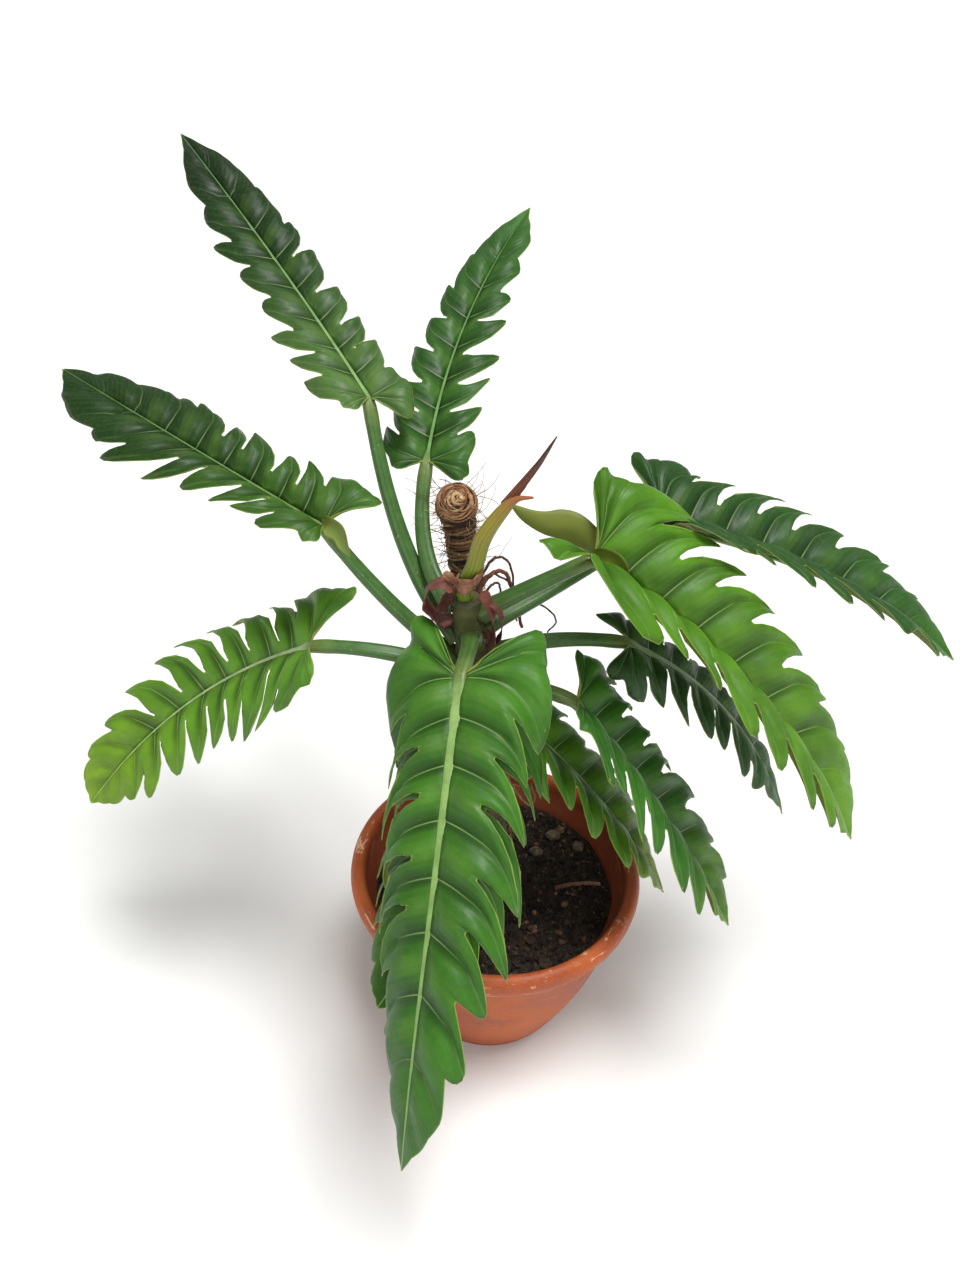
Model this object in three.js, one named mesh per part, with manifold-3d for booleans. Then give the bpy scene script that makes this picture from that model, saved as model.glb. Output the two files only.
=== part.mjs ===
// Potted jungle boogie philodendron: a stem with eleven lobed leaves, tied up by a coir pole, in a round
// terracotta pot. Millimetres, +Z up. The origin is the centre of the pot's underside, +Y is the back.
import * as THREE from 'three';
import { mergeVertices } from 'three/addons/utils/BufferGeometryUtils.js';
import Module from 'manifold-3d';

const wasm = await Module();
wasm.setup();

// Driving dimensions

const GAP = 0.4;                      // clearance between neighbouring pieces

const POT = {
  height: 204, rimRadius: 150, rimDepth: 30, bodyRadius: 136, mouthRadius: 134,
  footRadius: 84, footHeight: 6, wall: 11, floor: 12, bulge: 7,
  drains: 4, drainRadius: 6, drainRing: 45, sides: 40,
};

const SOIL = { top: 164, lumps: 2.5, rings: 4 };

// The stem and the pole are straight and lean to the left, each given by two points of its axis.
const STEM = { low: [4, 2, 163], high: [-39, -18, 520], bottom: 110, top: 534, radius: [17, 13.5] };
const POLE = { low: [6, 40, 163], high: [-56, 42, 595], bottom: 30, coreTop: 602, coreRadius: 9 };
const WRAP = { bottom: 150, radius: 15, headRadius: 19, headBottom: 572, headTop: 604 };

const BLADE = {
  thickness: 1.2,
  steps: 64,                          // steps along the midrib when its curve is summed up
  fan: 0.16,                          // share of the column range that fans out behind the stalk
  follow: 0.7,                        // how far a lobe follows the midrib's own bend
  veinAngle: [84, 50],                // angle of the side veins to the midrib, at the stalk and at the tip
  curl: [38, 15],                     // how far a side vein turns forward, at the stalk and at the tip
  firstLobe: 0.035,                   // where the first lobe starts along the midrib
  lobeFoot: 0.08,                     // share of a lobe's base that is the round end of the gap
  lobePeak: 0.62,                     // where along a lobe its tip is
  rootLength: 0.16,                   // shortest side vein, as a share of the full one
  hook: 1.25,                         // how much lobe tips bend forward
  hookFrom: 0.48,                     // share of the outline where they start to
};

const STALK = { start: 9.6, sides: 6, rings: 6, radius: [8, 5.5], ribRadius: [4, 0.9] };

// One row a leaf. node is the height on the stem's axis; angles are degrees, azimuth from +X towards +Y;
// a pair is the value at the start and at the end. lobed is the share of the midrib that carries lobes and
// sinus how far out the notches between them end. end widens the undivided tip, waist narrows the blade
// beyond its base, fold lifts each half of it and arch bends it down. ear gives the lobes by the stalk:
// angle, extra length and the notch between.
const LEAVES = {
  leaf_back_tall: {
    node: 493, seed: 1, lobes: 6, lobed: 0.68, sinus: 0.38, end: 1.15, waist: -0.12, halfWidth: 47,
    stalk: { length: 216, azimuth: [168, 114], pitch: [35, 61] },
    blade: { length: 385, azimuth: [124, 136], pitch: [19, 27], roll: [4, -6] },
    left: { fold: [24, 1], arch: 35, ear: [125, -0.5], sinus: 0.6 },
    right: { fold: [34, 36], arch: 35, ear: [145, -0.05], sinus: 0.3 },
  },
  leaf_back_right: {
    node: 525, seed: 2, lobes: 6, lobed: 0.7, sinus: 0.34, end: 1.15, waist: 0, halfWidth: 49,
    stalk: { length: 133, azimuth: [168, 81], pitch: [22, 52] },
    blade: { length: 340, azimuth: [89, 64], pitch: [26, 26], roll: [-3, -1] },
    left: { fold: [28, 20], arch: 40, ear: [112, -0.4] },
    right: { fold: [34, 20], arch: 35, ear: [125, -0.1] },
  },
  leaf_left_upper: {
    node: 470, seed: 3, lobes: 6, lobed: 0.64, sinus: 0.38, end: 1.08, waist: -0.45, halfWidth: 54,
    stalk: { length: 164, azimuth: [184, 164], pitch: [30, 49] },
    blade: { length: 375, azimuth: [140, 149], pitch: [1, 10], roll: [-7, -4] },
    left: { fold: [44, 3], arch: 45, ear: [130, -0.5], sinus: 0.42 },
    right: { fold: [44, 10], arch: 35, ear: [115, 0.1], sinus: 0.32 },
  },
  leaf_left_lower: {
    node: 449, seed: 4, lobes: 8, lobed: 0.8, sinus: 0.24, end: 1.15, waist: -0.05, halfWidth: 72,
    stalk: { length: 142, azimuth: [198, 174], pitch: [54, -10] },
    blade: { length: 350, azimuth: [153, 201], pitch: [-32, -54], roll: [-29, -41] },
    left: { fold: [16, 13], arch: 60, ear: [120, -0.6], sinus: 0.3 },
    right: { fold: [18, 44], arch: 25, ear: [118, -0.1], sinus: 0.2 },
  },
  leaf_front_large: {
    node: 500, seed: 5, lobes: 6, lobed: 0.66, sinus: 0.5, end: 1.05, waist: 0.2, halfWidth: 78,
    stalk: { length: 66, azimuth: [279, 261], pitch: [40, -11] },
    blade: { length: 405, azimuth: [269, 260], pitch: [-31, -80], roll: [17, 28] },
    left: { fold: [8, 14], arch: 35, ear: [124, 0.12], sinus: 0.46 },
    right: { fold: [3, -10], arch: 35, ear: [147, 0.25], sinus: 0.3 },
  },
  leaf_right_near: {
    node: 520, seed: 6, lobes: 6, lobed: 0.72, sinus: 0.44, end: 1, waist: 0, halfWidth: 90,
    stalk: { length: 106, azimuth: [4, 6], pitch: [36, 29] },
    blade: { length: 370, azimuth: [-1, -19], pitch: [-30, -57], roll: [21, 15] },
    left: { fold: [45, 14], arch: 35, ear: [110, -0.12] },
    right: { fold: [48, 42], arch: 30, ear: [148, -0.12, 0.4], sinus: 0.68 },
  },
  leaf_right_back: {
    node: 501, seed: 7, lobes: 6, lobed: 0.74, sinus: 0.38, end: 0.95, waist: 0, halfWidth: 82,
    stalk: { length: 190, azimuth: [30, 34], pitch: [16, 20] },
    blade: { length: 350, azimuth: [9, 0], pitch: [-13, -36], roll: [18, 18] },
    left: { fold: [30, 21], arch: 35, ear: [102, 0] },
    right: { fold: [55, 36], arch: 20, ear: [120, -0.4], sinus: 0.75 },
  },
  leaf_right_lower: {
    node: 473, seed: 8, lobes: 6, lobed: 0.72, sinus: 0.32, end: 0.9, waist: 0, halfWidth: 49,
    stalk: { length: 130, azimuth: [10, 8], pitch: [37, -10] },
    blade: { length: 320, azimuth: [25, 0], pitch: [-32, -68], roll: [17, 13] },
    left: { fold: [15, 20], arch: 35, ear: [125, -0.2] },
    right: { fold: [-6, 13], arch: 35, ear: [125, -0.2] },
  },
  leaf_front_right: {
    node: 447, seed: 9, lobes: 6, lobed: 0.8, sinus: 0.36, end: 0.95, waist: 0, halfWidth: 68,
    stalk: { length: 88, azimuth: [-30, -15], pitch: [48, -13] },
    blade: { length: 305, azimuth: [4, -17], pitch: [-52, -58], roll: [22, 13] },
    left: { fold: [22, 17], arch: 35, ear: [112, -0.3] },
    right: { fold: [48, 46], arch: 35, ear: [105, -0.4], sinus: 0.66 },
  },
  leaf_rim_right: {
    node: 385, seed: 10, lobes: 5, lobed: 0.74, sinus: 0.54, end: 0.95, waist: 0, halfWidth: 56,
    stalk: { length: 38, azimuth: [-43, 5], pitch: [79, 47] },
    blade: { length: 270, azimuth: [-4, -3], pitch: [-40, -63], roll: [11, 2] },
    left: { fold: [29, 14], arch: 35, ear: [110, -0.3] },
    right: { fold: [25, 30], arch: 35, ear: [110, -0.3] },
  },
  leaf_front_lower: {
    node: 405, seed: 11, lobes: 6, lobed: 0.8, sinus: 0.36, end: 0.9, waist: 0, halfWidth: 89,
    stalk: { length: 66, azimuth: [253, 240], pitch: [70, 27] },
    blade: { length: 255, azimuth: [288, 228], pitch: [-60, -37], roll: [18, 3] },
    left: { fold: [3, 2], arch: 35, ear: [110, -0.35] },
    right: { fold: [-16, 12], arch: 35, ear: [110, -0.35] },
  },
};

// The new leaf stands in its sheath on top of the stem.
const SHEATH = {
  route: [[-34, -25, 570], [-28, -28, 597], [-14, -28, 622], [-4, -31, 634], [8, -34, 638]],
  radius: [6, 6.2, 6.5, 6.3, 4.8, 2.4, 0.9],
};
const ROLL = {
  route: [[-13, -25, 625], [-4, -23, 638], [9, -20, 657], [16, -18, 669], [22, -16, 680]],
  radius: [4.2, 3.6, 2.4, 1.5, 0.6],
};

// Dried sheaths: thin ribbons round the crown.
const BAND = { centre: [-38.5, -22.5, 551], inner: 9.5, thickness: 1.2, height: 13, from: 150, sweep: 230 };
const RIBBONS = {
  dry_sheath_loop: {
    width: 14, thickness: 1.2,
    route: [
      [-62, -31, 526], [-73, -33, 538], [-69, -36, 553], [-58, -38, 559], [-52, -39, 546], [-54, -39, 531],
    ],
  },
  dry_sheath_strip: {
    width: 9, thickness: 1.2,
    route: [[-23, -38, 548], [-15, -38, 530], [-15, -38, 505], [-17, -37, 470]],
  },
  dry_sheath_shred: {
    width: 7, thickness: 1.2,
    route: [[-22, -30, 514], [-16, -33, 502], [-18, -35, 487]],
  },
};

// Aerial roots: from is the height on the stem and the direction they leave it in.
const ROOTS = {
  root_1: {
    radius: 1.2, from: [527, 70],
    route: [[-28, 6, 545], [-20, 9, 558], [-10, 12, 556], [-4, 14, 542], [-1, 17, 515], [3, 19, 490]],
  },
  root_2: {
    radius: 2, from: [518, 85],
    route: [[-30, 8, 530], [-20, 14, 541], [-10, 20, 538], [-4, 23, 522], [2, 25, 500], [8, 24, 480]],
  },
  root_3: {
    radius: 1, from: [508, 100],
    route: [
      [-36, 12, 520], [-24, 24, 533], [-8, 30, 524], [8, 32, 507], [28, 33, 497], [38, 33, 484],
      [31, 34, 470],
    ],
  },
  root_4: { radius: 1.2, from: [524, 50], route: [[-22, -1, 536], [-15, 6, 536], [-12, 9, 521]] },
  root_5: {
    radius: 1.3, from: [340, 0],
    route: [[8, -8, 322], [20, -10, 304], [29, -9, 295], [33, -3, 300], [28, 4, 309]],
  },
};
const ROOT_SIDES = 6;

const PEBBLES = {
  pebble_1: { at: [62, 76, 166], size: [9, 7, 5] },
  pebble_2: { at: [43, 50, 166], size: [8, 6, 5] },
  pebble_3: { at: [90, 62, 166], size: [7, 8, 4.5] },
};

const TWIG = { radius: 2, route: [[64, 0, 166], [80, 6, 166], [98, 9, 167], [112, 7, 170]] };

// Materials

function material(colour, roughness) {
  return new THREE.MeshStandardMaterial({ color: colour, roughness, metalness: 0 });
}

const LOOK = {
  terracotta: () => material(0xc2643f, 0.6),
  soil: () => material(0x2c211b, 0.95),
  bark: () => material(0x4b3d2c, 0.8),
  wood: () => material(0xc9ac78, 0.75),
  coir: () => material(0x8a6a45, 0.95),
  leaf: () => material(0x2f6b33, 0.35),
  sheath: () => material(0x8f8a2c, 0.45),
  newLeaf: () => material(0x4a2430, 0.45),
  drySheath: () => material(0x8a4a35, 0.7),
  root: () => material(0x5a3a28, 0.8),
  stone: () => material(0x9a8f80, 0.85),
  twig: () => material(0x6e4536, 0.8),
};

// Small helpers

const radians = THREE.MathUtils.degToRad;
const lerp = THREE.MathUtils.lerp;
const vector = (list) => new THREE.Vector3(...list);

function heading(azimuth, pitch) {
  const a = radians(azimuth);
  const p = radians(pitch);
  return new THREE.Vector3(Math.cos(p) * Math.cos(a), Math.cos(p) * Math.sin(a), Math.sin(p));
}

// A fixed scatter between -1 and 1 for the small differences between lobes.
function wobble(seed, index) {
  const x = Math.sin(seed * 12.9898 + index * 78.233) * 43758.5453;
  return 2 * (x - Math.floor(x)) - 1;
}

// Point of a straight axis at a height.
function axisAt(axis, z) {
  const share = (z - axis.low[2]) / (axis.high[2] - axis.low[2]);
  return vector(axis.low).lerp(vector(axis.high), share);
}

// Solids

function toSolid(geometry) {
  const bare = geometry.clone();
  bare.deleteAttribute('normal');
  bare.deleteAttribute('uv');
  const merged = mergeVertices(bare, 1e-4);
  const index = merged.index.array;
  const kept = [];
  for (let i = 0; i < index.length; i += 3) {
    const [a, b, c] = [index[i], index[i + 1], index[i + 2]];
    if (a !== b && b !== c && c !== a) {
      kept.push(a, b, c);
    }
  }
  const vertProperties = new Float32Array(merged.attributes.position.array);
  return new wasm.Manifold(new wasm.Mesh({ numProp: 3, vertProperties, triVerts: new Uint32Array(kept) }));
}

function toGeometry(solid) {
  const mesh = solid.getMesh();
  const geometry = new THREE.BufferGeometry();
  geometry.setAttribute('position', new THREE.BufferAttribute(new Float32Array(mesh.vertProperties), 3));
  geometry.setIndex(new THREE.BufferAttribute(new Uint32Array(mesh.triVerts), 1));
  return geometry;
}

// A geometry from a list of points and the corners of its triangles.
function geometryOf(points, triangles) {
  const geometry = new THREE.BufferGeometry();
  const flat = new Float32Array(points.flatMap((p) => [p.x, p.y, p.z]));
  geometry.setAttribute('position', new THREE.BufferAttribute(flat, 3));
  geometry.setIndex(triangles);
  return geometry;
}

// A round bar through points with a radius at each, closed by a cap at both ends.
function bar(centres, radii, sides) {
  const points = [];
  const triangles = [];
  let across = new THREE.Vector3(0, 0, 1);
  centres.forEach((centre, i) => {
    const before = centres[Math.max(i - 1, 0)];
    const after = centres[Math.min(i + 1, centres.length - 1)];
    const along = after.clone().sub(before).normalize();
    if (i === 0 && Math.abs(along.z) > 0.9) {
      across.set(1, 0, 0);
    }
    across = across.addScaledVector(along, -across.dot(along)).normalize();
    const up = along.clone().cross(across);
    for (let k = 0; k < sides; k += 1) {
      const turn = (2 * Math.PI * k) / sides;
      const point = centre.clone().addScaledVector(across, radii[i] * Math.cos(turn));
      points.push(point.addScaledVector(up, radii[i] * Math.sin(turn)));
    }
  });
  const last = (centres.length - 1) * sides;
  for (let i = 0; i < centres.length - 1; i += 1) {
    for (let k = 0; k < sides; k += 1) {
      const a = i * sides + k;
      const b = i * sides + ((k + 1) % sides);
      triangles.push(a, b, b + sides, a, b + sides, a + sides);
    }
  }
  for (let k = 1; k < sides - 1; k += 1) {
    triangles.push(0, k + 1, k);
    triangles.push(last, last + k, last + k + 1);
  }
  return geometryOf(points, triangles);
}

function straightBar(axis, bottom, top, radii, sides, rings = 2) {
  const centres = [];
  const sizes = [];
  for (let i = 0; i < rings; i += 1) {
    const share = i / (rings - 1);
    centres.push(axisAt(axis, lerp(bottom, top, share)));
    sizes.push(lerp(radii[0], radii[1], share));
  }
  return bar(centres, sizes, sides);
}

// A section swept along a smooth route.
function sweep(section, route, steps) {
  const path = new THREE.CatmullRomCurve3(route.map(vector));
  return new THREE.ExtrudeGeometry(section, { steps, bevelEnabled: false, extrudePath: path });
}

function roundSection(radius, sides) {
  const section = new THREE.Shape();
  for (let k = 0; k < sides; k += 1) {
    const turn = (2 * Math.PI * k) / sides;
    const point = [radius * Math.cos(turn), radius * Math.sin(turn)];
    if (k === 0) {
      section.moveTo(...point);
    } else {
      section.lineTo(...point);
    }
  }
  section.closePath();
  return section;
}

// Pot and soil

// Outer radius of the pot's wall below the rim, at a height.
function potRadius(z) {
  const share = z / (POT.height - POT.rimDepth);
  const straight = lerp(POT.footRadius, POT.bodyRadius, share);
  return straight + POT.bulge * Math.sin(Math.PI * Math.min(share, 1));
}

function innerRadius(z) {
  return Math.min(potRadius(z) - POT.wall, POT.mouthRadius);
}

function lathe(profile, sides) {
  const points = profile.map(([r, z]) => new THREE.Vector2(r, z));
  return new THREE.LatheGeometry(points, sides).rotateX(Math.PI / 2);
}

function pot() {
  const rimBottom = POT.height - POT.rimDepth;
  const wallHeights = [0.3, 0.65, 1].map((share) => share * rimBottom);
  const inner = [0.8, 0.4].map((share) => share * POT.height);
  const profile = [
    [0, 0],
    [POT.footRadius - 2, 0],
    [POT.footRadius, POT.footHeight],
    ...wallHeights.map((z) => [potRadius(z), z]),
    [POT.rimRadius - 2, rimBottom + 9],
    [POT.rimRadius, POT.height - 12],
    [POT.rimRadius - 3, POT.height - 3],
    [POT.rimRadius - 8, POT.height],
    [POT.mouthRadius + 3, POT.height - 2],
    [POT.mouthRadius, POT.height - 12],
    ...inner.map((z) => [innerRadius(z), z]),
    [innerRadius(POT.floor), POT.floor],
    [0, POT.floor],
  ];
  let solid = toSolid(lathe(profile, POT.sides));
  for (let i = 0; i < POT.drains; i += 1) {
    const turn = (2 * Math.PI * (i + 0.5)) / POT.drains;
    const drain = new THREE.CylinderGeometry(POT.drainRadius, POT.drainRadius, 3 * POT.floor, 12);
    drain.rotateX(Math.PI / 2).translate(POT.drainRing * Math.cos(turn), POT.drainRing * Math.sin(turn), 0);
    solid = solid.subtract(toSolid(drain));
  }
  return toGeometry(solid);
}

function soilLump(x, y) {
  return SOIL.lumps * Math.sin(x / 17 + 1.3) * Math.cos(y / 13 + 0.6);
}

function pebble(piece, extra) {
  const geometry = new THREE.IcosahedronGeometry(1, 1);
  const grow = piece.size.map((size) => size + extra);
  return geometry.scale(...grow).translate(...piece.at);
}

function twig(extra) {
  return sweep(roundSection(TWIG.radius + extra, ROOT_SIDES), TWIG.route, 8);
}

function soil() {
  const profile = [[0, POT.floor + GAP], [innerRadius(POT.floor) - GAP, POT.floor + GAP]];
  for (const z of [0.4 * POT.height, SOIL.top]) {
    profile.push([innerRadius(z) - 2 * GAP, z]);
  }
  const edge = innerRadius(SOIL.top) - 2 * GAP;
  for (let i = SOIL.rings - 1; i >= 0; i -= 1) {
    profile.push([(edge * i) / SOIL.rings, SOIL.top]);
  }
  const geometry = lathe(profile, POT.sides);
  const place = geometry.attributes.position;
  for (let i = 0; i < place.count; i += 1) {
    const [x, y, z] = [place.getX(i), place.getY(i), place.getZ(i)];
    if (z > SOIL.top - 1 && Math.hypot(x, y) < edge - 1) {
      place.setZ(i, z + soilLump(x, y));
    }
  }
  let solid = toSolid(geometry);
  const holes = [
    stemGeometry(GAP),
    straightBar(POLE, POLE.bottom - GAP, SOIL.top + 20, [WRAP.radius + GAP, WRAP.radius + GAP], 12),
    ...Object.values(PEBBLES).map((piece) => pebble(piece, GAP)),
    twig(GAP),
  ];
  for (const hole of holes) {
    solid = solid.subtract(toSolid(hole));
  }
  return toGeometry(solid);
}

// Stem and pole

function stemGeometry(extra) {
  const radii = STEM.radius.map((radius) => radius + extra);
  return straightBar(STEM, STEM.bottom - extra, STEM.top + extra, radii, 12, 5);
}

// The coir is a tube round the core, with a bulging head.
function poleWrap() {
  const inner = POLE.coreRadius + GAP;
  const outline = [
    [WRAP.bottom, WRAP.radius], [WRAP.headBottom, WRAP.radius], [WRAP.headBottom + 8, WRAP.headRadius],
    [WRAP.headTop - 12, WRAP.headRadius], [WRAP.headTop - 4, WRAP.headRadius - 4], [WRAP.headTop, inner + 1],
  ];
  const centres = outline.map(([z]) => axisAt(POLE, z));
  const radii = outline.map(([, radius]) => radius);
  const body = toSolid(bar(centres, radii, 12));
  const bore = straightBar(POLE, WRAP.bottom - 9, WRAP.headTop + 9, [inner, inner], 10);
  return toGeometry(body.subtract(toSolid(bore)));
}

// Leaves

// The stalk leaves the stem at its node, turns quickly at first and then runs nearly straight.
function stalkLine(leaf) {
  const { length, azimuth, pitch } = leaf.stalk;
  const start = axisAt(STEM, leaf.node).addScaledVector(heading(azimuth[0], 0), STALK.start);
  const points = [start];
  const count = BLADE.steps / 2;
  for (let i = 0; i < count; i += 1) {
    const share = Math.sqrt((i + 0.5) / count);
    const step = heading(lerp(...azimuth, share), lerp(...pitch, share)).multiplyScalar(length / count);
    points.push(points[i].clone().add(step));
  }
  return points;
}

function midribLine(leaf, base) {
  const { length, azimuth, pitch } = leaf.blade;
  const points = [base];
  for (let i = 0; i < BLADE.steps; i += 1) {
    const share = (i + 0.5) / BLADE.steps;
    const step = heading(lerp(...azimuth, share), lerp(...pitch, share));
    points.push(points[i].clone().addScaledVector(step, length / BLADE.steps));
  }
  return points;
}

// Point, direction, left side and face normal of the blade at a share of its midrib, also beyond its ends.
function bladeFrame(leaf, line, share) {
  const { length, azimuth, pitch, roll } = leaf.blade;
  const inside = THREE.MathUtils.clamp(share, 0, 1);
  const position = inside * BLADE.steps;
  const index = Math.min(Math.floor(position), BLADE.steps - 1);
  const point = line[index].clone().lerp(line[index + 1], position - index);
  const middle = (share + inside) / 2;
  const outward = heading(lerp(...azimuth, middle), lerp(...pitch, middle));
  point.addScaledVector(outward, (share - inside) * length);
  const turn = lerp(...azimuth, share);
  const along = heading(turn, lerp(...pitch, share));
  const flatLeft = heading(turn + 90, 0);
  const flatUp = along.clone().cross(flatLeft);
  const bank = radians(lerp(...roll, inside));
  const left = flatLeft.clone().multiplyScalar(Math.cos(bank)).addScaledVector(flatUp, Math.sin(bank));
  const up = flatUp.multiplyScalar(Math.cos(bank)).addScaledVector(flatLeft, -Math.sin(bank));
  return { point, along, left, up };
}

// Width of the blade's outline before its lobes are cut, as a share of the half width.
function outlineWidth(leaf, share) {
  const s = THREE.MathUtils.clamp(share, 0, 1);
  const end = THREE.MathUtils.smoothstep(s, 0.66, 0.82);
  const waist = 1 - leaf.waist * THREE.MathUtils.smoothstep(s, 0.28, 0.56);
  return (1 - s ** 3.7) ** 1.35 * (1 + (leaf.end - 1) * end) * waist;
}

// Where the lobes start and end along the midrib, the same on both halves. They get wider towards the tip.
function lobeBounds(leaf) {
  const bounds = [-BLADE.fan, -0.52 * BLADE.fan];
  for (let i = 0; i <= leaf.lobes; i += 1) {
    const inner = i > 0 && i < leaf.lobes;
    const shift = inner ? 0.015 * wobble(leaf.seed, i) : 0;
    bounds.push(lerp(BLADE.firstLobe, leaf.lobed, (i / leaf.lobes) ** 1.12) + shift);
  }
  return [...bounds, lerp(leaf.lobed, 1, 0.4), lerp(leaf.lobed, 1, 0.72), 1];
}

// How deep the cut is at each bound and how long each lobe is, as shares of the outline, for one half.
function lobeDepths(leaf, side) {
  const key = leaf.seed + (side > 0 ? 0.5 : 0.2);
  const { ear, sinus = leaf.sinus } = side > 0 ? leaf.left : leaf.right;
  const cuts = [BLADE.rootLength, ear[2] || 0.86];
  for (let i = 0; i <= leaf.lobes; i += 1) {
    cuts.push(sinus + 0.07 * wobble(key, i + 20) + lerp(-0.02, 0.06, i / leaf.lobes));
  }
  cuts[2] = 0.5 * sinus + 0.42;
  cuts[leaf.lobes + 1] = Math.max(cuts[leaf.lobes + 1], 0.66);
  cuts[leaf.lobes + 2] = 0.82;
  cuts.push(0.96, 0.95, 1);
  const lengths = cuts.slice(1).map((_, i) => 0.97 + 0.09 * wobble(key, i + 40));
  return { cuts, lengths };
}

// Share of the outline that a side vein reaches at a place along a lobe: a full rise, then a rounded tip and
// a rounded notch. The undivided end of the blade only waves.
function lobeReach(depths, lobe, x) {
  const [low, high, next] = [depths.cuts[lobe], depths.lengths[lobe], depths.cuts[lobe + 1]];
  if (lobe > depths.cuts.length - 5) {
    return lerp(low, next, 1 - (1 - x) ** 2) + 0.04 * Math.sin(Math.PI * x);
  }
  const peak = lobe === 0 ? 0.45 : BLADE.lobePeak;
  const foot = lobe === 0 ? 0 : BLADE.lobeFoot;
  if (x < peak) {
    const rise = Math.max((x - foot) / (peak - foot), 0);
    return low + (high - low) * Math.sin((Math.PI / 2) * rise) ** 0.8;
  }
  const fall = Math.cos((Math.PI / 2) * ((x - peak) / (1 - peak)));
  return next + (high - next) * Math.max(fall, 0) ** 0.82;
}

// A place on the blade: root along the midrib, forward and outward distance of the vein's point from it.
function bladePoint(leaf, line, side, root, forward, outward) {
  const half = side > 0 ? leaf.left : leaf.right;
  const { length } = leaf.blade;
  const frame = bladeFrame(leaf, line, root + (BLADE.follow * forward) / length);
  const fold = radians(lerp(...half.fold, THREE.MathUtils.clamp(root, 0, 1)));
  const rate = radians(half.arch) / leaf.halfWidth;
  const across = (Math.sin(fold) - Math.sin(fold - rate * outward)) / rate;
  const rise = (Math.cos(fold - rate * outward) - Math.cos(fold)) / rate;
  return frame.point
    .addScaledVector(frame.along, (1 - BLADE.follow) * forward)
    .addScaledVector(frame.left, side * across)
    .addScaledVector(frame.up, rise);
}

// One side vein from the rib to the margin: the point beside the rib, the middle and the end.
function vein(leaf, line, side, at, reach) {
  const half = side > 0 ? leaf.left : leaf.right;
  const root = Math.max(at, 0);
  const fan = Math.max(-at, 0) / BLADE.fan;
  const start = radians(lerp(lerp(...BLADE.veinAngle, root ** 2.5), half.ear[0], fan));
  const full = leaf.halfWidth * outlineWidth(leaf, root) * (1 + half.ear[1] * fan);
  const curl = radians(lerp(...BLADE.curl, root) * (1 - 2 * fan)) || 1e-3;
  const rib = lerp(...STALK.ribRadius, root);
  return [1, 0.5, rib / Math.max(full * reach, 2 * rib)].map((row) => {
    const end = start - curl * reach * row;
    const hook = BLADE.hook * Math.max(reach * row - BLADE.hookFrom, 0) ** 2;
    const forward = full * ((Math.sin(start) - Math.sin(end)) / curl + hook * (1 - fan));
    const outward = (full * (Math.cos(end) - Math.cos(start))) / curl;
    return bladePoint(leaf, line, side, root, forward, outward);
  });
}

// The blade: veins of both halves side by side, given a thickness, with the rib standing out below.
function blade(leaf, line) {
  const bounds = lobeBounds(leaf);
  const lobeCount = bounds.length - 1;
  const sides = [1, -1].map((side) => ({ side, depths: lobeDepths(leaf, side) }));
  const grid = [];
  const addColumn = (lobe, x) => {
    const at = Math.min(lerp(bounds[lobe], bounds[lobe + 1], x), 0.985);
    const [left, right] = sides.map(({ side, depths }) => {
      return vein(leaf, line, side, at, lobeReach(depths, lobe, x));
    });
    const rib = lerp(...STALK.ribRadius, Math.max(at, 0));
    grid.push({ points: [...left, ...right.reverse()], below: [0, 0, rib, rib, 0, 0] });
  };
  for (let lobe = 0; lobe < lobeCount; lobe += 1) {
    let places = [0, 0.26, BLADE.lobePeak];
    if (lobe === 0 || lobe >= lobeCount - 3) {
      places = [0, 0.45];
    }
    places.forEach((x) => addColumn(lobe, x));
  }
  addColumn(lobeCount - 1, 1);
  return thicken(grid, BLADE.thickness);
}

// Gives rows of points a thickness, more below where a row asks for it, and closes the edge round them.
function thicken(grid, thickness) {
  const [count, depth] = [grid.length, grid[0].points.length];
  const above = [];
  const below = [];
  grid.forEach((row, i) => row.points.forEach((point, j) => {
    const a = grid[Math.max(i - 1, 0)].points[j];
    const b = grid[Math.min(i + 1, count - 1)].points[j];
    const c = row.points[Math.max(j - 1, 0)];
    const d = row.points[Math.min(j + 1, depth - 1)];
    const normal = d.clone().sub(c).cross(b.clone().sub(a)).normalize().negate();
    above.push(point.clone().addScaledVector(normal, -thickness / 2));
    below.push(point.clone().addScaledVector(normal, thickness / 2 + row.below[j]));
  }));
  const shift = count * depth;
  const at = (i, j) => i * depth + j;
  const triangles = [];
  const quad = (a, b, c, d) => triangles.push(a, c, b, a, d, c);
  for (let i = 0; i < count - 1; i += 1) {
    for (let j = 0; j < depth - 1; j += 1) {
      quad(at(i, j), at(i + 1, j), at(i + 1, j + 1), at(i, j + 1));
      quad(at(i, j) + shift, at(i, j + 1) + shift, at(i + 1, j + 1) + shift, at(i + 1, j) + shift);
    }
    quad(at(i, 0) + shift, at(i + 1, 0) + shift, at(i + 1, 0), at(i, 0));
    quad(at(i, depth - 1), at(i + 1, depth - 1), at(i + 1, depth - 1) + shift, at(i, depth - 1) + shift);
  }
  for (let j = 0; j < depth - 1; j += 1) {
    quad(at(0, j + 1) + shift, at(0, j) + shift, at(0, j), at(0, j + 1));
    quad(at(count - 1, j) + shift, at(count - 1, j + 1) + shift, at(count - 1, j + 1), at(count - 1, j));
  }
  return geometryOf([...above, ...below], triangles);
}

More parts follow.
